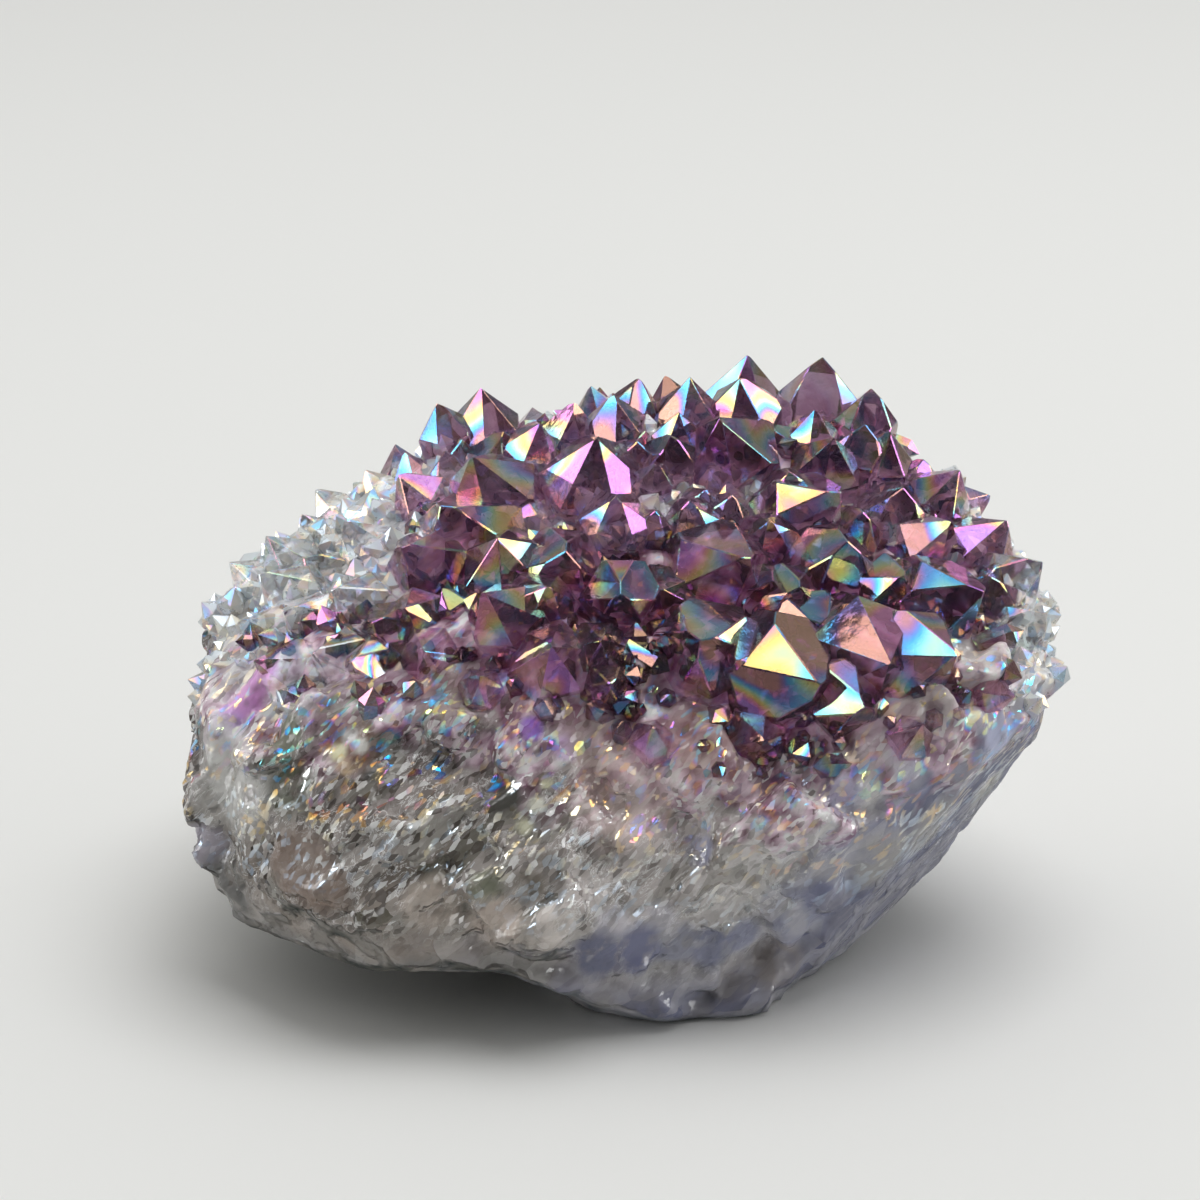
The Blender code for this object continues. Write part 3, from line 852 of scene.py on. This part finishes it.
def add_splinters(stone):
    """Breaks the quartz wall into small splinters and gives its skin knobs."""
    data = stone.data
    places = vertex_vectors(data, "co") / MM
    normals = [vertex.normal.copy() for vertex in data.vertices]
    rows = zip(data.vertices, normals, places.tolist(), rind_depth(places), below_rim(places))
    for vertex, normal, place, depth, under in rows:
        place = Vector(place)
        if depth < KNOB_DEPTH or normal.z < KNOB_FACING:
            height = sum(amount * noise.noise(place / size) for size, amount in SKIN_KNOBS)
        else:
            share = min(1.0, max(0.0, (depth - SPLINTER_DEPTH) / SPLINTER_FADE))
            share *= CROWN_SHARE if under < CROWN_START else 1.0
            height = share * tipped_faces(drawn_out(place), SPLINTERS)
        if place.z > SMOOTH_FOOT:
            vertex.co += normal * height * MM
    data.update()


def fine_stone(grain):
    """The stone under its points, in fine grain."""
    stone = even_faces(new_object("quartz_root", lofted_stone()), grain)
    push_out(stone, facet_height)
    cut_breaks(stone)
    cut_object(stone, Vector((0, 0, 0)), Vector((0, 0, -1)))
    even_faces(stone, grain)
    worn = stone.modifiers.new("worn", "SMOOTH")
    worn.factor = 0.5
    worn.iterations = WEAR_STEPS
    baked(stone)
    add_splinters(stone)
    return stone


def marks_on(stone, places):
    """Colours and amounts for the single marks, painted glints and painted shade among them, each soft round
    its place.
    """
    surface = surface_of(stone)
    found = np.zeros((len(places), 4), np.float32)
    for px, py, size, amount, code in MARKS_AND_PAINTED_LIGHT:
        hit = surface.ray_cast(metres(EYE_PLACE), sight_line(px, py))[0]
        if hit is None:
            raise RuntimeError(f"the mark at {px}, {py} misses the stone")
        gap = np.linalg.norm(places - np.array(hit / MM), axis=1)
        share = (amount * np.clip(MARK_EDGE - MARK_EDGE * gap / size, 0.0, 1.0))[:, None]
        kept = found[:, 3:] * (1.0 - share)
        total = np.maximum(kept + share, 1e-6)
        found[:, :3] = (found[:, :3] * kept + np.array(lit(code)) * share) / total
        found[:, 3:] = kept + share
    return found


def bearing_window(places, start, end, soft):
    """1 between two bearings in degrees, falling off softly outside them."""
    middle, half = (start + end) / 2.0, (end - start) / 2.0
    away = np.abs((bearings_of(places) - middle + 180.0) % 360.0 - 180.0)
    return np.clip((half + soft - away) / soft, 0.0, 1.0)


def drift(places, size_mm, octaves):
    """Soft noise at each place, as a share from about 0 to 1."""
    return np.array([
        0.5 + 0.5 * noise.fractal(Vector(place) / size_mm, 1.0, 2.0, octaves) for place in places.tolist()
    ])


def write_zones(stone):
    """Writes what the wall's material and the small crystals read, point by point."""
    data = stone.data
    places = vertex_vectors(data, "co") / MM
    depth, under = rind_depth(places), below_rim(places)
    write_number(data, "rind_depth", depth)
    write_number(data, "below_rim", under)
    for name, shift, size, octaves in DRIFTS:
        write_number(data, name, drift(places + shift, size, octaves))
    skin_depth = np.interp(places[:, 0], SKIN_PLACES, SKIN_DEPTH)
    skin_turn = np.interp(places[:, 0], SKIN_PLACES, SKIN_TURN)
    down = -vertex_vectors(data, "normal")[:, 2]
    skin = np.maximum((skin_depth - depth) / SKIN_FADE, (down - skin_turn) / SKIN_TURN_FADE)
    write_number(data, "skin", np.clip(skin, 0.0, 1.0))
    marks = marks_on(stone, places)
    unmarked = 1.0 - marks[:, 3]
    write_colour(data, "mark", marks)
    pale = np.zeros(len(places))
    for start, end, soft, below, above in RIM_DRUSE:
        band = np.clip((below - under) / DRUSE_FADE, 0.0, 1.0)
        band *= np.clip((under + above) / DRUSE_FADE, 0.0, 1.0)
        pale = np.maximum(pale, bearing_window(places, start, end, soft) * band)
    pale *= unmarked
    violet = np.clip((VIOLET_START - under) / VIOLET_FADE, 0.0, 1.0) * (1.0 - pale) * unmarked
    write_number(data, "pale_druse", pale)
    write_number(data, "violet_druse", violet)
    data.shade_smooth()


# Nodes: the kinds that are used most, and their settings


MATH, VECTOR_MATH, RANGE = "ShaderNodeMath", "ShaderNodeVectorMath", "ShaderNodeMapRange"
NOISE, RAMP, MIX = "ShaderNodeTexNoise", "ShaderNodeValToRGB", "ShaderNodeMix"
ATTRIBUTE, PLACES = "ShaderNodeAttribute", "ShaderNodeTexCoord"
ADD, SUBTRACT, MULTIPLY = {"operation": "ADD"}, {"operation": "SUBTRACT"}, {"operation": "MULTIPLY"}
COLOUR, NUMBER = {"data_type": "RGBA"}, {"data_type": "FLOAT"}


def fill(tree, node, *inputs, **links):
    """Sets a node's first inputs in order, and others by name or number, from a node, a socket or a value."""
    for name, value in (*((f"i{number}", value) for number, value in enumerate(inputs)), *links.items()):
        socket = node.inputs[int(name[1:]) if name[1:].isdigit() else name.replace("_", " ")]
        if isinstance(value, bpy.types.Node):
            value = next(output for output in value.outputs if output.enabled)
        if isinstance(value, bpy.types.NodeSocket):
            tree.links.new(value, socket)
        else:
            socket.default_value = value
    return node


def add_node(tree, kind, settings=None, *inputs, **links):
    """Adds a node. settings are attributes of the node, or the colour stops of a ramp."""
    node = tree.nodes.new(kind)
    for name, value in (settings or {}).items():
        if name == "stops":
            set_stops(node.color_ramp, value)
        else:
            setattr(node, name, value)
    return fill(tree, node, *inputs, **links)


def set_stops(ramp, stops):
    """Sets a colour ramp's stops: (place, colour), in order."""
    while len(ramp.elements) > 1:
        ramp.elements.remove(ramp.elements[-1])
    for number, (place, colour) in enumerate(stops):
        element = ramp.elements[0] if number == 0 else ramp.elements.new(place)
        element.position = place
        element.color = with_alpha(colour)


def shades(stops, convert=linear):
    """Stops with hex codes as settings for a colour ramp."""
    return {"stops": [(place, convert(code)) for place, code in stops]}


def where_all(tree, first, *others):
    """The share that is left where several shares hold at once."""
    for other in others:
        first = add_node(tree, MATH, MULTIPLY, first, other)
    return first


# Small crystals, scattered by Geometry Nodes


SCATTER_INPUTS = (
    ("Crystal", "NodeSocketObject"),
    ("Mask", "NodeSocketString"),
    ("Density", "NodeSocketFloat"),
    ("Smallest", "NodeSocketFloat"),
    ("Largest", "NodeSocketFloat"),
    ("Lean", "NodeSocketFloat"),
    ("Seed", "NodeSocketInt"),
    ("Material", "NodeSocketMaterial"),
)


def scatter_tree():
    """Sets copies of a crystal on a surface where its mask is, each leaning its own way."""
    tree = bpy.data.node_groups.new("scattered crystals", "GeometryNodeTree")
    tree.is_modifier = True
    tree.interface.new_socket("Geometry", in_out="INPUT", socket_type="NodeSocketGeometry")
    tree.interface.new_socket("Geometry", in_out="OUTPUT", socket_type="NodeSocketGeometry")
    for name, kind in SCATTER_INPUTS:
        tree.interface.new_socket(name, in_out="INPUT", socket_type=kind)
    given = add_node(tree, "NodeGroupInput").outputs
    mask = add_node(tree, "GeometryNodeInputNamedAttribute", {"data_type": "FLOAT"}, Name=given["Mask"])
    points = add_node(
        tree, "GeometryNodeDistributePointsOnFaces", Mesh=given["Geometry"],
        Density=add_node(tree, MATH, MULTIPLY, mask, given["Density"]), Seed=given["Seed"]
    )
    back = add_node(tree, MATH, MULTIPLY, given["Lean"], -1.0)
    lean = add_node(
        tree, "FunctionNodeRandomValue", {"data_type": "FLOAT_VECTOR"}, back, given["Lean"],
        Seed=given["Seed"]
    )
    turned = add_node(tree, "FunctionNodeEulerToRotation", Euler=lean)
    stance = add_node(
        tree, "FunctionNodeRotateRotation", {"rotation_space": "LOCAL"}, Rotation=points.outputs["Rotation"],
        Rotate_By=turned
    )
    size = add_node(
        tree, "FunctionNodeRandomValue", NUMBER, i2=given["Smallest"], i3=given["Largest"], Seed=given["Seed"]
    )
    crystal = add_node(tree, "GeometryNodeObjectInfo", Object=given["Crystal"])
    stood = add_node(
        tree, "GeometryNodeInstanceOnPoints", Points=points.outputs["Points"],
        Instance=crystal.outputs["Geometry"], Rotation=stance, Scale=size
    )
    real = add_node(tree, "GeometryNodeRealizeInstances", Geometry=stood)
    finished = add_node(tree, "GeometryNodeSetMaterial", Geometry=real, Material=given["Material"])
    add_node(tree, "NodeGroupOutput", Geometry=finished)
    return tree


def scattered(name, stone, tree, **values):
    """A piece of small crystals standing on the stone. The values are named as the tree's inputs."""
    piece = new_object(name, stone.data.copy())
    scatter = piece.modifiers.new("scattered crystals", "NODES")
    scatter.node_group = tree
    for socket in tree.interface.items_tree:
        if socket.in_out == "INPUT" and socket.name in values:
            scatter[socket.identifier] = values[socket.name]
    return baked(piece)


# Materials


def new_material(name):
    """A material with a bare Principled shader joined to its output: (material, tree, shader)."""
    material = bpy.data.materials.new(name)
    material.use_nodes = True
    tree = material.node_tree
    return material, tree, tree.nodes["Principled BSDF"]


def lit(code):
    """A hex code as the wall shows it, lightened to the colour that it has under the paper's light."""
    return tuple(min(0.9, part / WALL_LIGHT) for part in linear(code))


def coated(tree, colour, *coats):
    """A colour with coats over it, each (amount, hex code): the wall's own colours, and painted glints and
    painted shade.
    """
    for amount, code in coats:
        colour = add_node(tree, MIX, COLOUR, i0=amount, i6=colour, i7=with_alpha(lit(code)))
    return colour


def tipped_grains(tree, places, size_mm, tip):
    """Grains with flat faces tipped at random: (height in metres, three random numbers for each grain)."""
    cells = add_node(tree, "ShaderNodeTexVoronoi", Vector=places, Scale=1000.0 / size_mm)
    across = add_node(tree, VECTOR_MATH, SUBTRACT, places, cells.outputs["Position"])
    own = add_node(tree, VECTOR_MATH, SUBTRACT, cells.outputs["Color"], (0.5, 0.5, 0.5))
    height = add_node(tree, VECTOR_MATH, {"operation": "DOT_PRODUCT"}, across, own)
    numbers = add_node(tree, "ShaderNodeSeparateColor", Color=cells.outputs["Color"])
    return add_node(tree, MATH, MULTIPLY, height, 2 * tip), numbers.outputs


def film_thickness(tree, least, most, size_mm):
    """The film's thickness in nanometres: it drifts over a few millimetres, and each face has its own."""
    places = add_node(tree, PLACES).outputs["Object"]
    facing = add_node(tree, "ShaderNodeNewGeometry").outputs["True Normal"]
    apart = add_node(tree, VECTOR_MATH, {"operation": "MULTIPLY_ADD"}, facing, (FACES_APART,) * 3, places)
    own = add_node(tree, NOISE, Vector=apart, Scale=1000.0 / size_mm, Detail=1.0, Roughness=0.4)
    return add_node(tree, RANGE, None, own, 0.40, 0.62, least, most)


def amethyst_material(finish):
    """Natural amethyst points with a vapour-deposited metal-oxide film, as grown: flat glassy faces, a cloudy
    plum body that darkens with depth, and pastel reflections that the film colours."""
    material, tree, shader = new_material("film coated amethyst")
    places = add_node(tree, PLACES).outputs["Object"]
    clouds = add_node(tree, NOISE, Vector=places, Scale=1000.0 / 5.0, Detail=4.0, Distortion=0.6)
    etched = add_node(tree, NOISE, Vector=places, Scale=1000.0 / 2.2, Detail=4.0)
    fill(
        tree, shader, Base_Color=add_node(tree, RAMP, shades(CRYSTAL_CLOUDS), clouds),
        Transmission_Weight=0.93, IOR=QUARTZ_IOR,
        Roughness=add_node(tree, RANGE, None, etched, 0.35, 0.75, 0.01, 0.08),
        Thin_Film_Thickness=film_thickness(tree, finish.film_least, finish.film_most, 11.0),
        Thin_Film_IOR=1.95,
        Normal=add_node(tree, "ShaderNodeBump", Height=etched, Strength=0.06, Distance=0.0002)
    )
    fill(tree, tree.nodes["Material Output"], Volume=add_node(
        tree, "ShaderNodeVolumeAbsorption", Color=with_alpha(finish.amethyst), Density=finish.depth_of_colour
    ))
    return material


def clear_quartz_material():
    """Clear quartz points at the rim, as grown and thinly coated: almost no colour, bright edges."""
    material, tree, shader = new_material("clear quartz")
    fill(
        tree, shader, Base_Color=with_alpha(linear("#f2f3f2")), Transmission_Weight=1.0, IOR=QUARTZ_IOR,
        Roughness=0.12, Thin_Film_Thickness=film_thickness(tree, 60.0, 260.0, 5.0), Thin_Film_IOR=2.0
    )
    fill(tree, tree.nodes["Material Output"], Volume=add_node(
        tree, "ShaderNodeVolumeAbsorption", Color=with_alpha(linear("#c9c4cf")), Density=60.0
    ))
    return material


def rim_druse_material():
    """Small quartz crystals at the rim, frosted by a fine regrowth: whitish, with a faint green-grey cast."""
    material, tree, shader = new_material("frosted rim quartz")
    places = add_node(tree, PLACES).outputs["Object"]
    clouds = add_node(tree, NOISE, Vector=places, Scale=1000.0 / 6.0, Detail=3.0)
    frost = add_node(tree, NOISE, Vector=places, Scale=1000.0 / 1.2, Detail=3.0)
    fill(
        tree, shader, Base_Color=add_node(tree, RAMP, shades(RIM_CLOUDS), clouds), Transmission_Weight=0.35,
        IOR=QUARTZ_IOR, Roughness=add_node(tree, RANGE, None, frost, 0.35, 0.7, 0.22, 0.5),
        Thin_Film_Thickness=film_thickness(tree, 40.0, 170.0, 6.0), Thin_Film_IOR=2.0
    )
    return material


def small_amethyst_material(finish):
    """Small amethyst points between the large ones: plum, cloudy, with the film's colours on their faces."""
    material, tree, shader = new_material("small cloudy amethyst")
    places = add_node(tree, PLACES).outputs["Object"]
    clouds = add_node(tree, NOISE, Vector=places, Scale=1000.0 / 5.0, Detail=3.0)
    fill(
        tree, shader, Base_Color=add_node(tree, RAMP, shades(SMALL_CLOUDS), clouds), Transmission_Weight=0.8,
        IOR=QUARTZ_IOR, Roughness=0.08,
        Thin_Film_Thickness=film_thickness(tree, finish.film_least, finish.film_most, 6.0),
        Thin_Film_IOR=1.9
    )
    return material


class GeodeWall:
    """The parts of the wall's material. What several of them read is made once: how far in from the skin a
    place lies and how far under the rim, how far to the right, soft noise, and the grains and chips."""

    def __init__(self, tree):
        self.tree = tree
        self.depth, self.under, self.wander, self.patches, self.feathers, skin, self.pale = (
            add_node(tree, ATTRIBUTE, {"attribute_name": name}).outputs["Fac"] for name in WALL_NUMBERS
        )
        self.mark = add_node(tree, ATTRIBUTE, {"attribute_name": "mark"}).outputs
        places = add_node(tree, PLACES).outputs["Object"]
        self.grown = add_node(
            tree, "ShaderNodeMapping", {"vector_type": "TEXTURE"}, Vector=places,
            Rotation=tuple(GROWTH.to_track_quat("X", "Z").to_euler()), Scale=(GRAIN_STRETCH, 1.0, 1.0)
        )
        self.grain_height, self.grain = tipped_grains(tree, self.grown, *GRAIN)
        self.chip_height, self.chip = tipped_grains(tree, self.grown, *CHIP)
        across = add_node(tree, "ShaderNodeSeparateXYZ", Vector=places).outputs["X"]
        border = add_node(tree, MATH, ADD, across, self.wandering(0.008))
        self.right = add_node(tree, RANGE, None, border, -0.02, 0.012)
        under_skin = add_node(tree, RANGE, None, self.depth, 3.0, 8.0)
        self.inside = where_all(tree, under_skin, add_node(tree, RANGE, None, self.under, 1.0, 4.0))
        picked = add_node(tree, RANGE, None, self.grain["Red"], 0.68, 0.70)
        self.clear = where_all(tree, picked, self.inside)
        patchy = add_node(tree, RANGE, None, self.patches, 0.3, 0.7, -0.25, 0.25)
        worn = add_node(tree, MATH, ADD, skin, patchy)
        self.skin = add_node(tree, RANGE, None, worn, 0.35, 0.75)
        self.bare = add_node(tree, MATH, SUBTRACT, 1.0, self.skin)

    def wandering(self, reach):
        """A number that wanders between -reach and reach, to make the layers' borders uneven."""
        return add_node(self.tree, RANGE, None, self.wander, 0.3, 0.7, -reach, reach)

    def healed_cracks(self):
        """White feathery lines, close together in some patches and scarce in others."""
        tree = self.tree
        cracks = add_node(
            tree, NOISE, Vector=self.grown, Scale=1000.0 / 1.2, Detail=3.0, Distortion=1.2, Roughness=0.65
        )
        away = add_node(tree, MATH, {"operation": "ABSOLUTE"}, add_node(tree, MATH, SUBTRACT, cracks, 0.5))
        return where_all(
            tree, add_node(tree, RANGE, None, away, 0.0, 0.035, 1.0, 0.0),
            add_node(tree, RANGE, None, self.patches, 0.40, 0.56, 0.1, 1.0), self.inside,
            add_node(tree, RANGE, None, self.clear, 0.0, 1.0, 1.0, 0.1)
        )

    def quartz(self):
        """Smoky quartz at the left and milky at the right, with healed cracks, clear grains painted dark as
        shade, and chips painted as shaded hollows and glints.
        """
        tree, right, chip = self.tree, self.right, self.chip["Red"]
        spread = add_node(tree, MATH, ADD, self.depth, self.wandering(1.6))
        layer = add_node(tree, RANGE, None, spread, 0.0, LAYERS_DEEP)
        smoky, milky = (
            add_node(tree, RAMP, shades(layers, lit), layer) for layers in (SMOKY_LAYERS, MILKY_LAYERS)
        )
        # Painted shade: the clear grains darkened, standing for the dark seen through them
        clear = where_all(tree, self.clear, add_node(tree, RANGE, None, right, 0.0, 1.0, 0.85, 0.35))
        pale = add_node(tree, RANGE, None, self.grain["Green"], 0.0, 1.0, 0.0, 0.30)
        # Painted shade and painted highlights: some chips darkened as shaded hollows, a few lightened as
        # glints
        busy = where_all(tree, self.inside, add_node(tree, RANGE, None, right, 0.0, 1.0, 1.0, 0.35))
        painted_hollow_shade = where_all(tree, add_node(tree, RANGE, None, chip, 0.36, 0.10, 0.0, 0.85), busy)
        painted_glint = where_all(tree, add_node(tree, RANGE, None, chip, 0.90, 0.97), busy)
        return coated(
            tree, add_node(tree, MIX, COLOUR, i0=right, i6=smoky, i7=milky), (clear, CLEAR_GRAIN_PAINTED_SHADE),
            (pale, PALE_GRAIN), (self.healed_cracks(), HEALED_CRACK), (painted_hollow_shade, QUARTZ_HOLLOW_PAINTED_SHADE),
            (painted_glint, QUARTZ_PAINTED_GLINT)
        )

    def root(self):
        """Brown-plum amethyst at the foot of the points, grey where the rim's crystals are pale, with painted
        glints and painted shade in its chips.
        """
        tree, chip = self.tree, self.chip["Red"]
        uncovered = add_node(tree, RANGE, None, self.under, -3.0, 0.0)
        # Painted highlights and painted shade on the chips that the rim's crystals leave bare
        painted_glint = where_all(tree, add_node(tree, RANGE, None, chip, 0.84, 0.94, 0.0, 0.8), uncovered)
        painted_hollow_shade = where_all(tree, add_node(tree, RANGE, None, chip, 0.35, 0.0, 0.0, 0.7), uncovered)
        return coated(
            tree, add_node(tree, RAMP, shades(ROOT_CLOUDS, lit), self.feathers), (self.pale, PALE_ROOT),
            (painted_glint, ROOT_PAINTED_GLINT), (painted_hollow_shade, ROOT_HOLLOW_PAINTED_SHADE)
        )

    def colour(self):
        """Quartz, the points' root, the skin's crust, darkened at the left as painted shade, and the single
        marks, painted glints and shade among them, one over the other.
        """
        tree = self.tree
        near = add_node(tree, MATH, ADD, self.under, self.wandering(4.0))
        at_root = add_node(tree, RANGE, None, near, 2.0, 7.0, 1.0, 0.0)
        stone = add_node(tree, MIX, COLOUR, i0=at_root, i6=self.quartz(), i7=self.root())
        # The crust darkens to the left: painted shade on the shadowed underside
        dark, pale = (
            add_node(tree, RAMP, shades(crust, lit), self.patches) for crust in (CRUST_IN_PAINTED_SHADE, PALE_CRUST)
        )
        crust = add_node(tree, MIX, COLOUR, i0=self.right, i6=dark, i7=pale)
        covered = add_node(tree, MIX, COLOUR, i0=self.skin, i6=stone, i7=crust)
        # The single marks go over everything; some are painted glints and painted shade
        feathered = add_node(tree, RANGE, None, self.feathers, 0.3, 0.5, 0.6, 1.0)
        marked = where_all(tree, self.mark["Alpha"], feathered)
        return add_node(tree, MIX, COLOUR, i0=marked, i6=covered, i7=self.mark["Color"])

    def roughness(self):
        """Glassy clear grains and a few glossy chips in matt quartz, under a matt skin."""
        tree = self.tree
        chips = add_node(tree, RANGE, None, self.chip["Green"], 0.5, 0.9, 0.8, 0.06)
        grains = add_node(tree, MIX, NUMBER, i0=self.clear, i2=chips, i3=0.15)
        return add_node(tree, MIX, NUMBER, i0=self.skin, i2=grains, i3=0.75)

    def film(self):
        """The film's thickness in nanometres: on single chips alone, and thinner further down the wall."""
        tree = self.tree
        return where_all(
            tree, add_node(tree, RANGE, None, self.chip["Blue"], 0.72, 0.74),
            add_node(tree, RANGE, None, self.under, 22.0, 2.0), self.bare,
            add_node(tree, RANGE, None, self.wander, 0.3, 0.7, 90.0, 230.0)
        )

    def relief(self):
        """The height in metres of grains and chips in the broken quartz, and of pits in the skin."""
        tree = self.tree
        amount = where_all(
            tree, add_node(tree, RANGE, None, self.depth, 1.5, 6.0, 0.15, 1.0), self.bare,
            add_node(tree, RANGE, None, self.mark["Alpha"], 0.3, 0.9, 1.0, 0.25)
        )
        broken = where_all(tree, add_node(tree, MATH, ADD, self.grain_height, self.chip_height), amount)
        return add_node(tree, MATH, ADD, broken, where_all(tree, self.patches, self.skin, PIT_DEPTH))


def geode_wall_material():
    """Geode wall, broken across its layers and left as it broke: matt skin, waxy chalcedony, then milky
    quartz with clear grains, white healed cracks and glassy chips, and plum amethyst at the crystals, with
    painted glints and painted shade in its colour."""
    material, tree, shader = new_material("broken geode wall")
    wall = GeodeWall(tree)
    bump = add_node(tree, "ShaderNodeBump", Height=wall.relief(), Strength=1.0, Distance=1.0)
    fill(
        tree, shader, Base_Color=wall.colour(), Roughness=wall.roughness(), IOR=QUARTZ_IOR,
        Specular_IOR_Level=0.3, Subsurface_Weight=add_node(tree, MATH, MULTIPLY, wall.bare, 0.3),
        Subsurface_Radius=(0.0010, 0.0009, 0.0010), Subsurface_Scale=1.0, Thin_Film_Thickness=wall.film(),
        Thin_Film_IOR=2.0, Normal=bump
    )
    return material


def paper_material(finish):
    """Matt white paper sweep: soft and even."""
    material, tree, shader = new_material("matt paper")
    fill(tree, shader, Base_Color=with_alpha(finish.paper), Roughness=0.9, Specular_IOR_Level=0.1)
    return material


# Pieces


def set_down(obj):
    """Moves a finished mesh to the CAD solid's own place."""
    obj.data.transform(Matrix.Translation(metres(-MIDDLE)))
    obj.data.update()


def declare(obj):
    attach(obj, "root")
    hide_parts(NODE)


class AMETHYST_OT_crown(bpy.types.Operator):
    """Builds the amethyst points and the clear points at the rim"""

    bl_idname = "amethyst.crown"
    bl_label = "Points"

    def execute(self, context):
        settings = context.scene.amethyst_stone
        finish = context.scene.amethyst_finish
        stone = plain_stone()
        crystals = all_crystals(surface_of(stone))
        bpy.data.objects.remove(stone)
        clear = [spec for spec in crystals if spec[0].x < CLEAR_LEFT or spec[0].x > CLEAR_RIGHT]
        violet = [spec for spec in crystals if not any(spec is other for other in clear)]
        wear = settings.edge_wear / MM
        for name, specs, material in (
            ("amethyst_points", violet, amethyst_material(finish)),
            ("clear_points", clear, clear_quartz_material()),
        ):
            piece = grown_together(name, specs, wear)
            piece.data.materials.clear()
            piece.data.materials.append(material)
            set_down(piece)
            declare(piece)
        return {"FINISHED"}


class AMETHYST_OT_wall(bpy.types.Operator):
    """Builds the broken quartz that the points stand on, and the small crystals on it"""

    bl_idname = "amethyst.wall"
    bl_label = "Quartz root and druse"

    def execute(self, context):
        settings = context.scene.amethyst_stone
        finish = context.scene.amethyst_finish
        stone = fine_stone(settings.grain / MM)
        write_zones(stone)
        stone.data.materials.clear()
        stone.data.materials.append(geode_wall_material())
        shape = crystal_shape(1.0, SMALL_LENGTH, random.Random(SEED))
        crystal = new_object("crystal", to_data(shape, "crystal"))
        crystal.data.transform(Matrix.Translation((0.0, 0.0, SMALL_RISE)))
        crystal.data.transform(Matrix.Scale(MM, 4))
        tree = scatter_tree()
        size = settings.small_size / MM
        pieces = [stone]
        for name, mask, spread, material in (
            ("rim_druse", "pale_druse", RIM_CRYSTALS, rim_druse_material()),
            ("small_amethyst", "violet_druse", SMALL_AMETHYSTS, small_amethyst_material(finish)),
        ):
            density, smallest, largest, seed = spread
            pieces.append(scattered(
                name, stone, tree, Crystal=crystal, Mask=mask, Density=settings.small_density * density,
                Smallest=size * smallest, Largest=size * largest, Lean=SMALL_LEAN, Seed=seed,
                Material=material
            ))
        bpy.data.objects.remove(crystal)
        for piece in pieces:
            set_down(piece)
            declare(piece)
        return {"FINISHED"}


def area_light(name, place, aim, size, power, only_reflected):
    light = bpy.data.lights.new(name, "AREA")
    light.shape = "RECTANGLE"
    light.size, light.size_y = size
    light.energy = power
    lamp = new_object(name, light)
    lamp.location = place
    lamp.rotation_euler = (Vector(aim) - Vector(place)).to_track_quat("-Z", "Y").to_euler()
    lamp.visible_diffuse = not only_reflected


def room_light(strength):
    """The room's even light, with less of it from the photographer's side and from below."""
    world = bpy.data.worlds.new("room")
    world.use_nodes = True
    tree = world.node_tree
    direction = add_node(tree, PLACES).outputs["Generated"]
    ahead = add_node(tree, VECTOR_MATH, {"operation": "DOT_PRODUCT"}, direction, PHOTOGRAPHER)
    behind = add_node(tree, RANGE, None, ahead, 0.05, 0.75, 1.0, 0.22)
    height = add_node(tree, "ShaderNodeSeparateXYZ", Vector=direction).outputs["Z"]
    above = add_node(tree, RANGE, None, height, 0.05, 0.6, 0.13, 1.08)
    level = where_all(tree, behind, above, strength)
    fill(tree, tree.nodes["Background"], Color=with_alpha(linear("#ecebe8")), Strength=level)
    return world


class AMETHYST_OT_stage(bpy.types.Operator):
    """Sets the paper, the studio lights and the camera"""

    bl_idname = "amethyst.stage"
    bl_label = "Stage"

    def execute(self, context):
        studio = context.scene.amethyst_studio
        finish = context.scene.amethyst_finish
        paper = bmesh.new()
        bmesh.ops.create_grid(paper, x_segments=1, y_segments=1, size=PAPER_REACH)
        floor = new_object("paper", to_data(paper, "paper"))
        floor.data.materials.append(paper_material(finish))
        for name, place, aim, size, power, only_reflected in PANELS:
            area_light(name, place, aim, size, getattr(studio, power), only_reflected)
        context.scene.world = room_light(studio.room)
        context.scene.view_settings.view_transform = "Standard"
        self.set_camera(context)
        return {"FINISHED"}

    def set_camera(self, context):
        lens = bpy.data.cameras.new("camera")
        lens.sensor_width = 36.0
        picture = 2 * PICTURE_CENTRE * MM_PER_UNIT
        lens.lens = lens.sensor_width * EYE_DISTANCE / picture
        lens.clip_start = 0.01
        camera = new_object("camera", lens)
        camera.location = metres(EYE_PLACE - MIDDLE)
        camera.rotation_euler = (math.radians(90.0) - EYE_ELEVATION, 0.0, 0.0)
        context.scene.camera = camera


class AMETHYST_PT_panel(bpy.types.Panel):
    bl_label = "Amethyst cluster"
    bl_idname = "AMETHYST_PT_panel"
    bl_space_type = "VIEW_3D"
    bl_region_type = "UI"
    bl_category = "Amethyst"

    def draw(self, context):
        layout = self.layout
        for settings in SETTINGS:
            group = getattr(context.scene, settings)
            for name in group.__annotations__:
                layout.prop(group, name)
        for operator in OPERATORS:
            layout.operator(operator.bl_idname)


OPERATORS = (AMETHYST_OT_crown, AMETHYST_OT_wall, AMETHYST_OT_stage)
SETTINGS = {
    "amethyst_stone": StoneSettings,
    "amethyst_finish": FinishSettings,
    "amethyst_studio": StudioSettings,
}


def register():
    for kind in (*SETTINGS.values(), *OPERATORS, AMETHYST_PT_panel):
        bpy.utils.register_class(kind)
    for name, kind in SETTINGS.items():
        setattr(bpy.types.Scene, name, bpy.props.PointerProperty(type=kind))


def unregister():
    for name in SETTINGS:
        delattr(bpy.types.Scene, name)
    for kind in (AMETHYST_PT_panel, *OPERATORS, *SETTINGS.values()):
        bpy.utils.unregister_class(kind)


def main():
    register()
    bpy.ops.amethyst.stage()
    bpy.ops.amethyst.wall()
    bpy.ops.amethyst.crown()


if __name__ == "__main__":
    main()
